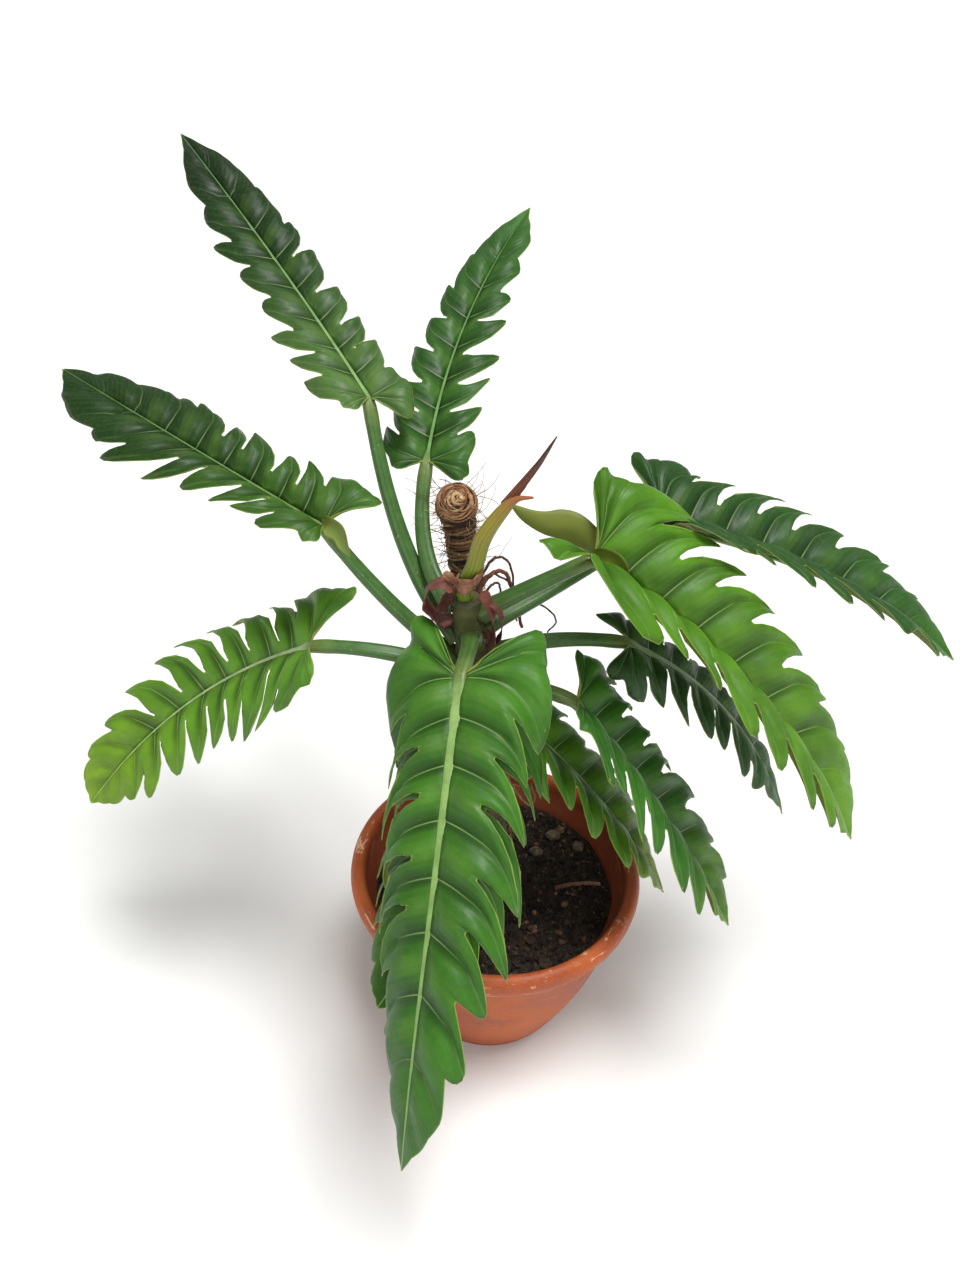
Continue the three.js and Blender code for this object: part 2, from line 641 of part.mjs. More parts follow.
// The stalk runs a little way under the blade, and the stem's surface cuts its foot.
function leafGeometry(leaf, stemCut) {
  const stalk = stalkLine(leaf);
  const line = midribLine(leaf, stalk[stalk.length - 1]);
  const centres = [];
  const radii = [];
  for (let i = 0; i <= STALK.rings; i += 1) {
    const share = i / STALK.rings;
    centres.push(stalk[Math.round(share * (stalk.length - 1))]);
    radii.push(lerp(...STALK.radius, share));
  }
  const under = bladeFrame(leaf, line, 0.05);
  centres.push(under.point.addScaledVector(under.up, -0.6 * STALK.ribRadius[0]));
  radii.push(0.6 * STALK.ribRadius[0]);
  const solid = toSolid(bar(centres, radii, STALK.sides)).add(toSolid(blade(leaf, line)));
  const bodies = solid.subtract(stemCut).decompose();
  return toGeometry(bodies.reduce((most, body) => (body.volume() > most.volume() ? body : most)));
}

// Small pieces of the crown

// The sheath starts on the stem's axis, just above the stem.
function sheath(extra) {
  const foot = [GAP, 12].map((above) => axisAt(STEM, STEM.top + above));
  const radii = SHEATH.radius.map((radius) => radius + extra);
  return bar([...foot, ...SHEATH.route.map(vector)], radii, 10);
}

function newLeafRoll() {
  const body = toSolid(bar(ROLL.route.map(vector), ROLL.radius, 8));
  return toGeometry(body.subtract(toSolid(sheath(GAP))));
}

function sheathBand() {
  const outer = BAND.inner + BAND.thickness;
  const section = new THREE.Shape();
  const steps = 10;
  for (const [radius, first, last] of [[outer, 0, steps], [BAND.inner, steps, 0]]) {
    const direction = Math.sign(last - first);
    for (let i = first; i !== last + direction; i += direction) {
      const turn = radians(BAND.from + (BAND.sweep * i) / steps);
      const point = [radius * Math.cos(turn), radius * Math.sin(turn)];
      if (section.curves.length === 0 && i === first && radius === outer) {
        section.moveTo(...point);
      } else {
        section.lineTo(...point);
      }
    }
  }
  section.closePath();
  const geometry = new THREE.ExtrudeGeometry(section, { depth: BAND.height, bevelEnabled: false });
  return geometry.rotateY(radians(8)).translate(...BAND.centre);
}

function ribbon(piece) {
  const [half, thin] = [piece.width / 2, piece.thickness / 2];
  const section = new THREE.Shape();
  section.moveTo(-thin, -half);
  section.lineTo(thin, -half);
  section.lineTo(thin, half);
  section.lineTo(-thin, half);
  section.closePath();
  return sweep(section, piece.route, 10);
}

// A root leaves the stem square to its bark.
function root(piece) {
  const [height, azimuth] = piece.from;
  const share = (height - STEM.bottom) / (STEM.top - STEM.bottom);
  const distance = lerp(...STEM.radius, share) + 2 * GAP;
  const starts = [distance, distance + 4].map((far) => {
    return axisAt(STEM, height).addScaledVector(heading(azimuth, 0), far).toArray();
  });
  return sweep(roundSection(piece.radius, ROOT_SIDES), [...starts, ...piece.route], 12);
}

// Assembly

const plant = new THREE.Group();

function addPiece(name, geometry, look) {
  const mesh = new THREE.Mesh(geometry, look());
  mesh.name = name;
  plant.add(mesh);
}

addPiece('pot', pot(), LOOK.terracotta);
addPiece('soil', soil(), LOOK.soil);
addPiece('stem', stemGeometry(0), LOOK.bark);
addPiece('pole_core', straightBar(POLE, POLE.bottom, POLE.coreTop, [POLE.coreRadius, POLE.coreRadius], 10),
  LOOK.wood);
addPiece('pole_wrap', poleWrap(), LOOK.coir);

const stemCut = toSolid(stemGeometry(GAP));
for (const [name, leaf] of Object.entries(LEAVES)) {
  addPiece(name, leafGeometry(leaf, stemCut), LOOK.leaf);
}

addPiece('new_leaf_sheath', sheath(0), LOOK.sheath);
addPiece('new_leaf_roll', newLeafRoll(), LOOK.newLeaf);
addPiece('dry_sheath_band', sheathBand(), LOOK.drySheath);
for (const [name, piece] of Object.entries(RIBBONS)) {
  addPiece(name, ribbon(piece), LOOK.drySheath);
}
for (const [name, piece] of Object.entries(ROOTS)) {
  addPiece(name, root(piece), LOOK.root);
}
for (const [name, piece] of Object.entries(PEBBLES)) {
  addPiece(name, pebble(piece, 0), LOOK.stone);
}
addPiece('twig', twig(0), LOOK.twig);

export default plant;
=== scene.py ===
"""Looks of the potted jungle boogie philodendron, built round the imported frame.

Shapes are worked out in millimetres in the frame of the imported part, and scaled to metres as a mesh is made.
"""

import math
import random

import bpy
import numpy as np
from mathutils import Matrix


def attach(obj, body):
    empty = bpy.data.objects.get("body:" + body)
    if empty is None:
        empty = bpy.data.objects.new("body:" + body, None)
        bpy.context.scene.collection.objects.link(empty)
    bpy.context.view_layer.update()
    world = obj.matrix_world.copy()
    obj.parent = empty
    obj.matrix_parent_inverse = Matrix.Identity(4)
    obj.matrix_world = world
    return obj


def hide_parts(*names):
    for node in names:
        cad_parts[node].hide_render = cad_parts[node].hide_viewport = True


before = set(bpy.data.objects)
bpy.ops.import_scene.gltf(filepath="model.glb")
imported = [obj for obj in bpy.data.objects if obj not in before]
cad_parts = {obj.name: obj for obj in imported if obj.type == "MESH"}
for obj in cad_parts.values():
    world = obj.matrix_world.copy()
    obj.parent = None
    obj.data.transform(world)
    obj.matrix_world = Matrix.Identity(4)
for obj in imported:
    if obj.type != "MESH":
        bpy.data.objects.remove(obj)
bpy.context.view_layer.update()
MM = 0.001

# Camera, fitted to the rim and the foot of the pot

CAMERA = {
    "place": (0, -681.4, 964.7), "yaw": -2.05, "pitch": 35.37, "roll": 3.0,
    "focal_px": 961, "width_px": 968, "sensor": 36,
}

# Sizes shared with the solids, in millimetres and degrees

POT = {
    "height": 204, "rim_depth": 30, "body_radius": 136, "mouth_radius": 134,
    "foot_radius": 84, "wall": 11, "floor": 12, "bulge": 7,
}
SOIL_TOP = 164
STEM = {"low": (4, 2, 163), "high": (-39, -18, 520), "bottom": 110, "top": 534, "radius": (17, 13.5)}
POLE = {"low": (6, 40, 163), "high": (-56, 42, 595), "bottom": 30, "top": 602, "radius": 9}
WRAP = {"bottom": 150, "radius": 15, "head_radius": 19, "head_bottom": 572, "head_top": 604}
BLADE = {
    "steps": 64, "fan": 0.16, "follow": 0.7, "vein_angle": (84, 50), "curl": (38, 15),
    "first_lobe": 0.035, "lobe_foot": 0.08, "lobe_peak": 0.62, "root_length": 0.16,
    "hook": 1.25, "hook_from": 0.48, "tip": 0.985,
}
STALK = {"start": 9.6, "radius": (8, 5.5), "rib_radius": (4.9, 0.8), "sides": 20, "rib_points": 54}

# A leaf has the height of its node on the stem, a seed for its own irregularities, the lobes of a half,
# the share of the blade that is lobed, what a notch leaves whole, the width of its end and what its waist
# loses, its half width, and puff, the height of its quilting. Stalk and blade are a length, then azimuth,
# pitch and for the blade roll, each from start to end. A half has its fold from start to end, its arch, its
# ear's angle and extra length, and where they differ, what the ear's notch and its other notches leave
# whole. Colours run from base to tip.

LEAVES = {
    "leaf_back_tall": {
        "node": 493, "seed": 1, "lobes": 6, "lobed": 0.68, "sinus": 0.38, "end": 1.15, "waist": -0.12,
        "half_width": 47, "puff": 5.4,
        "stalk": (216, (168, 114), (35, 61)), "blade": (385, (124, 136), (19, 27), (4, -6)),
        "left": ((24, 1), 35, (125, -0.5), 0.6), "right": ((34, 36), 35, (145, -0.05), 0.3),
        "colours": ("54784a", "1d3a1b", "060f06"), "rib": ("8fb56a", "3f6b3a"),
    },
    "leaf_back_right": {
        "node": 525, "seed": 2, "lobes": 6, "lobed": 0.7, "sinus": 0.34, "end": 1.15,
        "half_width": 49, "puff": 5.9,
        "stalk": (133, (168, 81), (22, 52)), "blade": (340, (89, 64), (26, 26), (-3, -1)),
        "left": ((28, 20), 40, (112, -0.4)), "right": ((34, 20), 35, (125, -0.1)),
        "colours": ("35612a", "2a5620", "34662a"), "rib": ("6f9c52", "56813e"),
    },
    "leaf_left_upper": {
        "node": 470, "seed": 3, "lobes": 6, "lobed": 0.64, "sinus": 0.38, "end": 1.08, "waist": -0.45,
        "half_width": 54, "puff": 6.8,
        "stalk": (164, (184, 164), (30, 49)), "blade": (375, (140, 149), (1, 10), (-7, -4)),
        "left": ((44, 3), 45, (130, -0.5), 0.42), "right": ((44, 10), 35, (115, 0.1), 0.32),
        "colours": ("406a2a", "1d3c12", "132d0c"), "rib": ("7d9f58", "456b34"),
    },
    "leaf_left_lower": {
        "node": 449, "seed": 4, "lobes": 8, "lobed": 0.8, "sinus": 0.24, "end": 1.15, "waist": -0.05,
        "half_width": 72, "puff": 6.8,
        "stalk": (142, (198, 174), (54, -10)), "blade": (350, (153, 201), (-32, -54), (-29, -41)),
        "left": ((16, 13), 60, (120, -0.6), 0.3), "right": ((18, 44), 25, (118, -0.1), 0.2),
        "colours": ("5c9430", "5f9428", "7fa430"), "rib": ("b4c796", "a8c47a"),
    },
    "leaf_front_large": {
        "node": 500, "seed": 5, "lobes": 6, "lobed": 0.66, "sinus": 0.5, "end": 1.05, "waist": 0.2,
        "half_width": 78, "puff": 9.7,
        "stalk": (66, (279, 261), (40, -11)), "blade": (405, (269, 260), (-31, -80), (17, 28)),
        "left": ((8, 14), 35, (124, 0.12), 0.46), "right": ((3, -10), 35, (147, 0.25), 0.3),
        "colours": ("437a2a", "397022", "34681e"),
    },
    "leaf_right_near": {
        "node": 520, "seed": 6, "lobes": 6, "lobed": 0.72, "sinus": 0.44, "end": 1,
        "half_width": 90, "puff": 9.5,
        "stalk": (106, (4, 6), (36, 29)), "blade": (370, (-1, -19), (-30, -57), (21, 15)),
        "left": ((45, 14), 35, (110, -0.12)), "right": ((48, 42), 30, (148, -0.12, 0.4), 0.68),
        "colours": ("51881a", "558726", "62922e"),
    },
    "leaf_right_back": {
        "node": 501, "seed": 7, "lobes": 6, "lobed": 0.74, "sinus": 0.38, "end": 0.95,
        "half_width": 82, "puff": 8.1,
        "stalk": (190, (30, 34), (16, 20)), "blade": (350, (9, 0), (-13, -36), (18, 18)),
        "left": ((30, 21), 35, (102, 0)), "right": ((55, 36), 20, (120, -0.4), 0.75),
        "colours": ("284e26", "2a5426", "386a28"), "rib": ("76a05c", "527a42"),
    },
    "leaf_right_lower": {
        "node": 473, "seed": 8, "lobes": 6, "lobed": 0.72, "sinus": 0.32, "end": 0.9,
        "half_width": 49, "puff": 5.4,
        "stalk": (130, (10, 8), (37, -10)), "blade": (320, (25, 0), (-32, -68), (17, 13)),
        "left": ((15, 20), 35, (125, -0.2)), "right": ((-6, 13), 35, (125, -0.2)),
        "colours": ("20441f", "22481f", "2b5722"), "rib": ("76985c", "4d7040"),
    },
    "leaf_front_right": {
        "node": 447, "seed": 9, "lobes": 6, "lobed": 0.8, "sinus": 0.36, "end": 0.95,
        "half_width": 68, "puff": 7.3,
        "stalk": (88, (-30, -15), (48, -13)), "blade": (305, (4, -17), (-52, -58), (22, 13)),
        "left": ((22, 17), 35, (112, -0.3)), "right": ((48, 46), 35, (105, -0.4), 0.66),
        "colours": ("357024", "356e26", "66982a"),
    },
    "leaf_rim_right": {
        "node": 385, "seed": 10, "lobes": 5, "lobed": 0.74, "sinus": 0.54, "end": 0.95,
        "half_width": 56, "puff": 5.7,
        "stalk": (38, (-43, 5), (79, 47)), "blade": (270, (-4, -3), (-40, -63), (11, 2)),
        "left": ((29, 14), 35, (110, -0.3)), "right": ((25, 30), 35, (110, -0.3)),
        "colours": ("4c8422", "548a22", "86a02a"),
    },
    "leaf_front_lower": {
        "node": 405, "seed": 11, "lobes": 6, "lobed": 0.8, "sinus": 0.36, "end": 0.9,
        "half_width": 89, "puff": 6.8,
        "stalk": (66, (253, 240), (70, 27)), "blade": (255, (288, 228), (-60, -37), (18, 3)),
        "left": ((3, 2), 35, (110, -0.35)), "right": ((-16, 12), 35, (110, -0.35)),
        "colours": ("316422", "386a24", "427622"),
    },
}
SHEATH = {
    "route": [(-34, -25, 570), (-28, -28, 597), (-14, -28, 622), (-4, -31, 634), (8, -34, 638)],
    "radius": (6, 6.2, 6.5, 6.3, 4.8, 2.4, 0.9),
}
ROLL = {
    "route": [(-13, -25, 625), (-4, -23, 638), (9, -20, 657), (16, -18, 669), (22, -16, 680)],
    "radius": (4.2, 3.6, 2.4, 1.5, 0.5),
}

# A root has a radius, where it leaves the stem as height and azimuth, its route, and its colours

ROOTS = {
    "root_1": (1.2, (527, 70), [(-28, 6, 545), (-20, 9, 558), (-10, 12, 556), (-4, 14, 542),
                                (-1, 17, 515), (3, 19, 490)], ("4a2c20", "6b4432")),
    "root_2": (2, (518, 85), [(-30, 8, 530), (-20, 14, 541), (-10, 20, 538), (-4, 23, 522),
                              (2, 25, 500), (8, 24, 480)], ("7a4430", "94583c")),
    "root_3": (1, (508, 100), [(-36, 12, 520), (-24, 24, 533), (-8, 30, 524), (8, 32, 507),
                               (28, 33, 497), (38, 33, 484), (31, 34, 470)], ("4a2c20", "6b4432")),
    "root_4": (1.2, (524, 50), [(-22, -1, 536), (-15, 6, 536), (-12, 9, 521)], ("4a2c20", "6b4432")),
    "root_5": (1.3, (340, 0), [(8, -8, 322), (20, -10, 304), (29, -9, 295), (33, -3, 300), (28, 4, 309)],
               ("8a6a48", "a98a62")),
}
PEBBLES = {
    "pebble_1": ((62, 76, 166), (9, 7, 5)),
    "pebble_2": ((43, 50, 166), (8, 6, 5)),
    "pebble_3": ((90, 62, 166), (7, 8, 4.5)),
}
TWIG_ROUTE = [(64, 0, 166), (80, 6, 166), (98, 9, 167), (112, 7, 170)]


# Numbers and directions

def lerp(pair, share):
    return pair[0] + (pair[1] - pair[0]) * share


def smooth(x, low=0.0, high=1.0):
    q = np.clip((x - low) / (high - low), 0, 1)
    return q * q * (3 - 2 * q)


def bell(x, middle, width):
    return np.exp(-((x - middle) / width) ** 2)


def turns(count):
    return 2 * np.pi * np.arange(count) / count


def norm(v):
    return np.linalg.norm(v, axis=-1)


def unit(v):
    return v / np.maximum(norm(v), 1e-9)[..., None]


def square_to(along, v):
    """Unit vectors of v turned square to along."""
    return unit(v - along * np.sum(v * along, axis=-1, keepdims=True))


def heading(azimuth, pitch):
    a = np.radians(azimuth)
    p = np.radians(pitch)
    return np.stack([np.cos(p) * np.cos(a), np.cos(p) * np.sin(a), np.sin(p) + 0 * a], axis=-1)


def wobble(seed, index):
    """A number between -1 and 1 that looks random and is the same each run."""
    x = math.sin(seed * 12.9898 + index * 78.233) * 43758.5453
    return 2 * (x - math.floor(x)) - 1


def axis_at(axis, z):
    """Point of a leaning axis at a height, or points at a column of heights."""
    low = np.array(axis["low"], float)
    high = np.array(axis["high"], float)
    return low + (high - low) * (z - low[2]) / (high[2] - low[2])


def linear(hex_colour):
    """Linear colour of a six-digit screen colour."""
    parts = [int(hex_colour[i:i + 2], 16) / 255 for i in (0, 2, 4)]
    return np.array([p / 12.92 if p <= 0.04045 else ((p + 0.055) / 1.055) ** 2.4 for p in parts])


def shades(colours, count):
    """Colours from the first to the last of a pair, one for each point of a line."""
    return lerp([linear(colour) for colour in colours], np.linspace(0, 1, count)[:, None])


def curve_points(route, count):
    """Evenly counted points of a smooth curve through the points of a route."""
    knots = np.array(route, float)
    knots = np.vstack([2 * knots[0] - knots[1], knots, 2 * knots[-1] - knots[-2]])
    place = np.linspace(0, len(route) - 1, count)
    span = np.minimum(place.astype(int), len(route) - 2)
    u = (place - span)[:, None]
    a, b, c, d = (knots[span + k] for k in range(4))
    square, cube = 2 * a - 5 * b + 4 * c - d, 3 * b - a - 3 * c + d
    return 0.5 * (2 * b + (c - a) * u + square * u ** 2 + cube * u ** 3)


# Meshes

def grid_faces(rows, columns, closed=False, flip=False):
    """Quads of a grid of points; closed joins its last column to its first."""
    i = np.arange(rows - 1)[:, None]
    j = np.arange(columns if closed else columns - 1)[None, :]
    k = (j + 1) % columns
    quads = np.stack([i * columns + j, i * columns + k, (i + 1) * columns + k, (i + 1) * columns + j], -1)
    quads = quads.reshape(-1, 4)
    return quads[:, ::-1] if flip else quads


class Builder:
    """Collects points, faces and values at points, and makes one mesh object of them."""

    def __init__(self):
        self.points = []
        self.faces = []
        self.looks = []
        self.values = {}
        self.count = 0

    def add_faces(self, faces, look, start):
        self.faces.append(np.asarray(faces, int) + start)
        self.looks.append(np.full(len(faces), look))

    def add(self, points, faces, look=0, **values):
        """Adds a grid of points and its faces, with values that are spread over the grid."""
        points = np.asarray(points, float)
        for key in {**self.values, **values}:
            width = (3,) if key == "tint" else ()
            blocks = self.values.setdefault(key, [np.zeros((self.count, *width))])
            block = np.broadcast_to(values.get(key, 0.0), (*points.shape[:-1], *width))
            blocks.append(block.reshape(-1, *width))
        start = self.count
        self.points.append(points.reshape(-1, 3))
        self.count += len(self.points[-1])
        self.add_faces(faces, look, start)
        return start

    def add_rings(self, rings, look=0, flip=False, **values):
        """Rings of points joined into one closed skin, with a face across each end."""
        count, sides = rings.shape[:2]
        start = self.add(rings, grid_faces(count, sides, closed=True, flip=flip), look, **values)
        first = np.arange(sides)
        ends = np.array([first[::-1], first + (count - 1) * sides])
        self.add_faces(ends[:, ::-1] if flip else ends, look, start)

    def build(self, node, materials, smooth_shade=True):
        """Makes the piece that takes the place of a node."""
        name = node + "_look"
        mesh = bpy.data.meshes.new(name)
        faces = [face for block in self.faces for face in block.tolist()]
        mesh.from_pydata((np.vstack(self.points) * MM).tolist(), [], faces)
        mesh.polygons.foreach_set("material_index", np.concatenate(self.looks).astype("i"))
        mesh.polygons.foreach_set("use_smooth", np.full(len(faces), smooth_shade))
        for key, blocks in self.values.items():
            data = np.concatenate(blocks).astype("f")
            if key == "tint":
                data = np.hstack([data, np.ones((len(data), 1), "f")])
                mesh.attributes.new(key, "FLOAT_COLOR", "POINT").data.foreach_set("color", data.ravel())
            else:
                mesh.attributes.new(key, "FLOAT", "POINT").data.foreach_set("value", data)
        for material in materials:
            mesh.materials.append(material)
        mesh.update()
        piece = bpy.data.objects.new(name, mesh)
        bpy.context.scene.collection.objects.link(piece)
        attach(piece, "root")
        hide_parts(node)


def transport(points, up=(0.13, 0.21, 1.0)):
    """Directions along a line and two sideways directions at each point, carried along without twist."""
    along = unit(np.gradient(points, axis=0))
    up = np.array(up, float)
    if abs(np.dot(unit(up), along[0])) > 0.95:
        up = np.array((1.0, 0.2, 0.1))
    ups = []
    for direction in along:
        up = square_to(direction, up)
        ups.append(up)
    ups = np.array(ups)
    return along, ups, np.cross(along, ups)


def rings_round(points, up, side, radii, sides):
    """A ring of points round each point of a line; radii are a column, or a grid over rings and sides."""
    turn = turns(sides)[:, None]
    return points[:, None] + radii[..., None] * (np.cos(turn) * up[:, None] + np.sin(turn) * side[:, None])


def add_tube(builder, points, radii, sides, tint):
    """A round tube that ends in a point at both ends, with one colour or one for each point."""
    tip_reach, tip_radius = 0.05, 0.02
    points = np.asarray(points)
    count = len(points)
    along, up, side = transport(points)
    place = np.clip(np.arange(-1, count + 1), 0, count - 1)
    path = points[place]
    path[0] -= tip_reach * along[0]
    path[-1] += tip_reach * along[-1]
    radii = np.broadcast_to(radii, count)[place]
    radii[[0, -1]] = tip_radius
    tint = np.broadcast_to(tint, (count, 3))[place]
    rings = rings_round(path, up[place], side[place], radii[:, None], sides)
    builder.add_rings(rings, tint=tint[:, None])


def add_lathe(builder, axis, heights, radii, sides, relief=0, **values):
    """A ring of points at each height round a leaning axis."""
    centres = axis_at(axis, heights[:, None])
    _, up, side = transport(centres, (1, 0, 0))
    builder.add_rings(rings_round(centres, up, side, radii[:, None] + relief, sides), **values)


def add_strip(builder, face, normal, thick, look=0, **values):
    """A thin closed strip about a grid of points; values run over one side and back over the other."""
    shift = normal[:, None] * thick / 2
    rings = np.concatenate([face + shift, (face - shift)[:, ::-1]], axis=1)
    builder.add_rings(rings, look, flip=True, **values)


def add_shell(builder, top, bottom, flip, **values):
    """A thin closed shell between two grids: an upper face, an underside, and the rim between them."""
    columns, rows = top.shape[:2]
    below = columns * rows
    start = builder.add(np.stack([top, bottom]), grid_faces(columns, rows, flip=not flip), TOP, **values)
    builder.add_faces(grid_faces(columns, rows, flip=flip) + below, UNDER, start)
    i = rows * np.arange(columns - 1)
    j = np.arange(rows - 1)
    last = (columns - 1) * rows + j
    edges = [(i + rows - 1, i + 2 * rows - 1), (i, i + rows), (j, j + 1), (last, last + 1)]
    rims = [np.stack([a, b, b + below, a + below], -1) for a, b in edges]
    # opposite edges face opposite ways
    rims[1::2] = [rim[:, [0, 3, 2, 1]] for rim in rims[1::2]]
    rims = np.concatenate(rims)
    builder.add_faces(rims[:, ::-1] if flip else rims, TOP, start)


# Materials

class Look:
    """A material and short ways to add its nodes."""

    def __init__(self, name):
        self.material = bpy.data.materials.new(name)
        self.material.use_nodes = True
        self.tree = self.material.node_tree
        self.tree.nodes.clear()
        self.shader = self.node("BsdfPrincipled")
        self.node("OutputMaterial", Surface=self.shader.outputs[0])
        self.place = self.node("TexCoord").outputs["Object"]

    def join(self, value, socket):
        if isinstance(value, bpy.types.NodeSocket):
            self.tree.links.new(value, socket)
        elif isinstance(value, str):
            socket.default_value = (*linear(value), 1)
        else:
            socket.default_value = value

    def node(self, kind, **inputs):
        node = self.tree.nodes.new("ShaderNode" + kind)
        for name, value in inputs.items():
            self.join(value, node.inputs[name.replace("_", " ")])
        return node

    def attribute(self, name, output="Fac"):
        node = self.node("Attribute")
        node.attribute_type = "GEOMETRY"
        node.attribute_name = name
        return node.outputs[output]

    def tint(self):
        return self.attribute("tint", "Color")

    def noise(self, scale, detail=3, roughness=0.6, place=None, distortion=0.0):
        node = self.node("TexNoise", Vector=place or self.place, Scale=scale, Detail=detail,
                         Roughness=roughness, Distortion=distortion)
        return node.outputs["Fac"]

    def cells(self, scale):
        return self.node("TexVoronoi", Vector=self.place, Scale=scale).outputs["Distance"]

    def squeezed(self, z):
        """The place with its height scaled, which flattens a pattern into bands."""
        return self.node("Mapping", Vector=self.place, Scale=(1, 1, z)).outputs["Vector"]

    def math(self, operation, a, b=0.0):
        node = self.node("Math")
        node.operation = operation
        self.join(a, node.inputs[0])
        self.join(b, node.inputs[1])
        return node.outputs[0]

    def times(self, a, b):
        return self.math("MULTIPLY", a, b)

    def plus(self, a, b):
        return self.math("ADD", a, b)

    def waves(self, value, rate):
        return self.math("SINE", self.times(value, rate))

    def range(self, value, low, high, to_low=0.0, to_high=1.0):
        node = self.node("MapRange", Value=value, From_Min=low, From_Max=high, To_Min=to_low, To_Max=to_high)
        node.interpolation_type = "SMOOTHSTEP"
        return node.outputs["Result"]

    def mix(self, share, a, b):
        node = self.node("Mix")
        node.data_type = "RGBA"
        self.join(share, node.inputs[0])
        self.join(a, node.inputs[6])
        self.join(b, node.inputs[7])
        return node.outputs[2]

    def paint(self, share, over):
        self.colour = self.mix(share, self.colour, over)

    def finish(self, roughness, height=None, bump=(0, 0), specular=None):
        """Joins the colour and the roughness, and bumps with their strength and their distance in metres."""
        self.join(self.colour, self.shader.inputs["Base Color"])
        self.join(roughness, self.shader.inputs["Roughness"])
        if height is not None:
            node = self.node("Bump", Height=height, Strength=bump[0], Distance=bump[1])
            self.join(node.outputs["Normal"], self.shader.inputs["Normal"])
        if specular is not None:
            self.join(specular, self.shader.inputs["Specular IOR Level"])
        return self.material


TOP, UNDER, STALK_SKIN = range(3)
FULL_TURN = 6.2832
SIDE_NERVES = 7


def vein_nodes(look):
    """Distance from the nearest main vein in millimetres, side nerves, and a wave between the veins for
    painted shade and painted highlight.
    """
    place = look.attribute("vein")
    apart = look.math("SUBTRACT", look.math("FRACT", look.plus(place, 0.5)), 0.5)
    away = look.times(look.math("ABSOLUTE", apart), look.attribute("vein_gap"))
    nerves = look.waves(place, FULL_TURN * SIDE_NERVES)
    return away, nerves, look.waves(look.plus(place, 0.27), FULL_TURN)


def leaf_top_look():
    look = Look("leaf_top")
    tint = look.tint()
    fine = look.noise(260)
    look.colour = look.mix(look.range(look.noise(22), 0.3, 0.72), look.mix(0.4, tint, "123317"), tint)
    look.paint(look.range(fine, 0.45, 0.8, 0, 0.10), "6f9f40")
    away, nerves, swell = vein_nodes(look)
    strength = look.attribute("vein_strength")
    # painted shade and painted highlight in bands between the main veins, over the lobed part
    lobed = look.range(strength, 0.26, 0.58)
    shade = look.times(look.range(swell, -0.1, 1.0, 0, 0.5), lobed)
    look.paint(shade, look.mix(0.75, tint, "071a05"))
    light = look.times(look.range(swell, -1.0, -0.2, 0.14, 0), lobed)
    look.paint(light, look.mix(0.5, tint, "a6cf62"))
    look.paint(look.range(nerves, 0.6, 1.0, 0, 0.04), "7fa840")
    # painted shade in the valley beside each main vein
    valley_shade = look.range(away, 0.8, 7.0, 0.75, 0)
    look.paint(look.times(valley_shade, strength), "0f2a0a")
    vein = look.range(away, 0.25, 0.85, 1, 0)
    look.paint(look.times(vein, strength), look.mix(0.6, tint, "a9cb78"))
    margin = look.range(look.attribute("edge"), 0.2, 0.9, 0.5, 0)
    look.paint(margin, look.mix(0.65, tint, "c3d766"))
    spots = look.range(look.noise(95, 2, 0.5), 0.70, 0.76)
    look.paint(look.times(spots, look.attribute("worn")), "7a5a2c")
    height = look.plus(look.times(nerves, 0.22), look.times(fine, 0.6))
    height = look.math("SUBTRACT", height, look.times(vein, 0.8))
    rough = look.range(look.noise(60), 0.3, 0.75, 0.40, 0.56)
    return look.finish(rough, height, (0.4, 0.0006), specular=0.27)


def leaf_under_look():
    look = Look("leaf_under")
    tint = look.mix(0.72, look.tint(), "737f2c")
    look.colour = look.mix(look.range(look.noise(30), 0.3, 0.75, 0, 0.35), tint, "5f6622")
    away, nerves, _ = vein_nodes(look)
    look.paint(look.range(away, 0.4, 1.4, 0.7, 0), "a3a650")
    height = look.plus(look.times(nerves, 0.3), look.noise(240))
    return look.finish(0.55, height, (0.3, 0.0006), specular=0.36)


def stalk_look():
    look = Look("leaf_stalk")
    tint = look.tint()
    streaks = look.waves(look.attribute("around"), 9.0)
    mottle = look.noise(70, 4, 0.65)
    look.colour = look.mix(look.range(mottle, 0.35, 0.7), look.mix(0.3, tint, "1f3a16"), tint)
    look.paint(look.range(streaks, 0.2, 1.0, 0, 0.07), "8fae60")
    flecks = look.range(look.noise(330, 2, 0.5), 0.66, 0.74, 0, 0.25)
    look.paint(flecks, "b3c37f")
    height = look.plus(look.times(streaks, 0.4), look.noise(300))
    return look.finish(look.range(mottle, 0.3, 0.7, 0.34, 0.5), height, (0.22, 0.0004))


def terracotta_look():
    look = Look("terracotta")
    broad = look.noise(11, 4)
    grain = look.noise(420, 3, 0.65)
    wear = look.attribute("wear")
    look.colour = look.mix(look.range(broad, 0.3, 0.7), "933a12", "b4561e")
    look.paint(look.range(grain, 0.35, 0.75, 0, 0.3), "c47034")
    look.paint(look.times(look.attribute("inside"), 0.75), "7c3a26")
    scuffs = look.range(look.noise(38, 5, 0.75, look.squeezed(3.4), 0.8), 0.58, 0.66)
    look.paint(look.times(scuffs, wear), "e6b795")
    smudges = look.range(look.noise(16, 4, 0.7), 0.5, 0.7, 0, 0.65)
    look.paint(look.times(smudges, look.range(wear, 0, 0.4, 1, 0)), "7f3d26")
    # painted shade: a dark line in the groove near the foot
    look.paint(look.times(look.attribute("foot"), 0.8), "3f2018")
    height = look.plus(look.times(grain, 0.5), look.times(broad, 0.5))
    return look.finish(look.range(broad, 0.3, 0.7, 0.5, 0.68), height, (0.3, 0.0008))


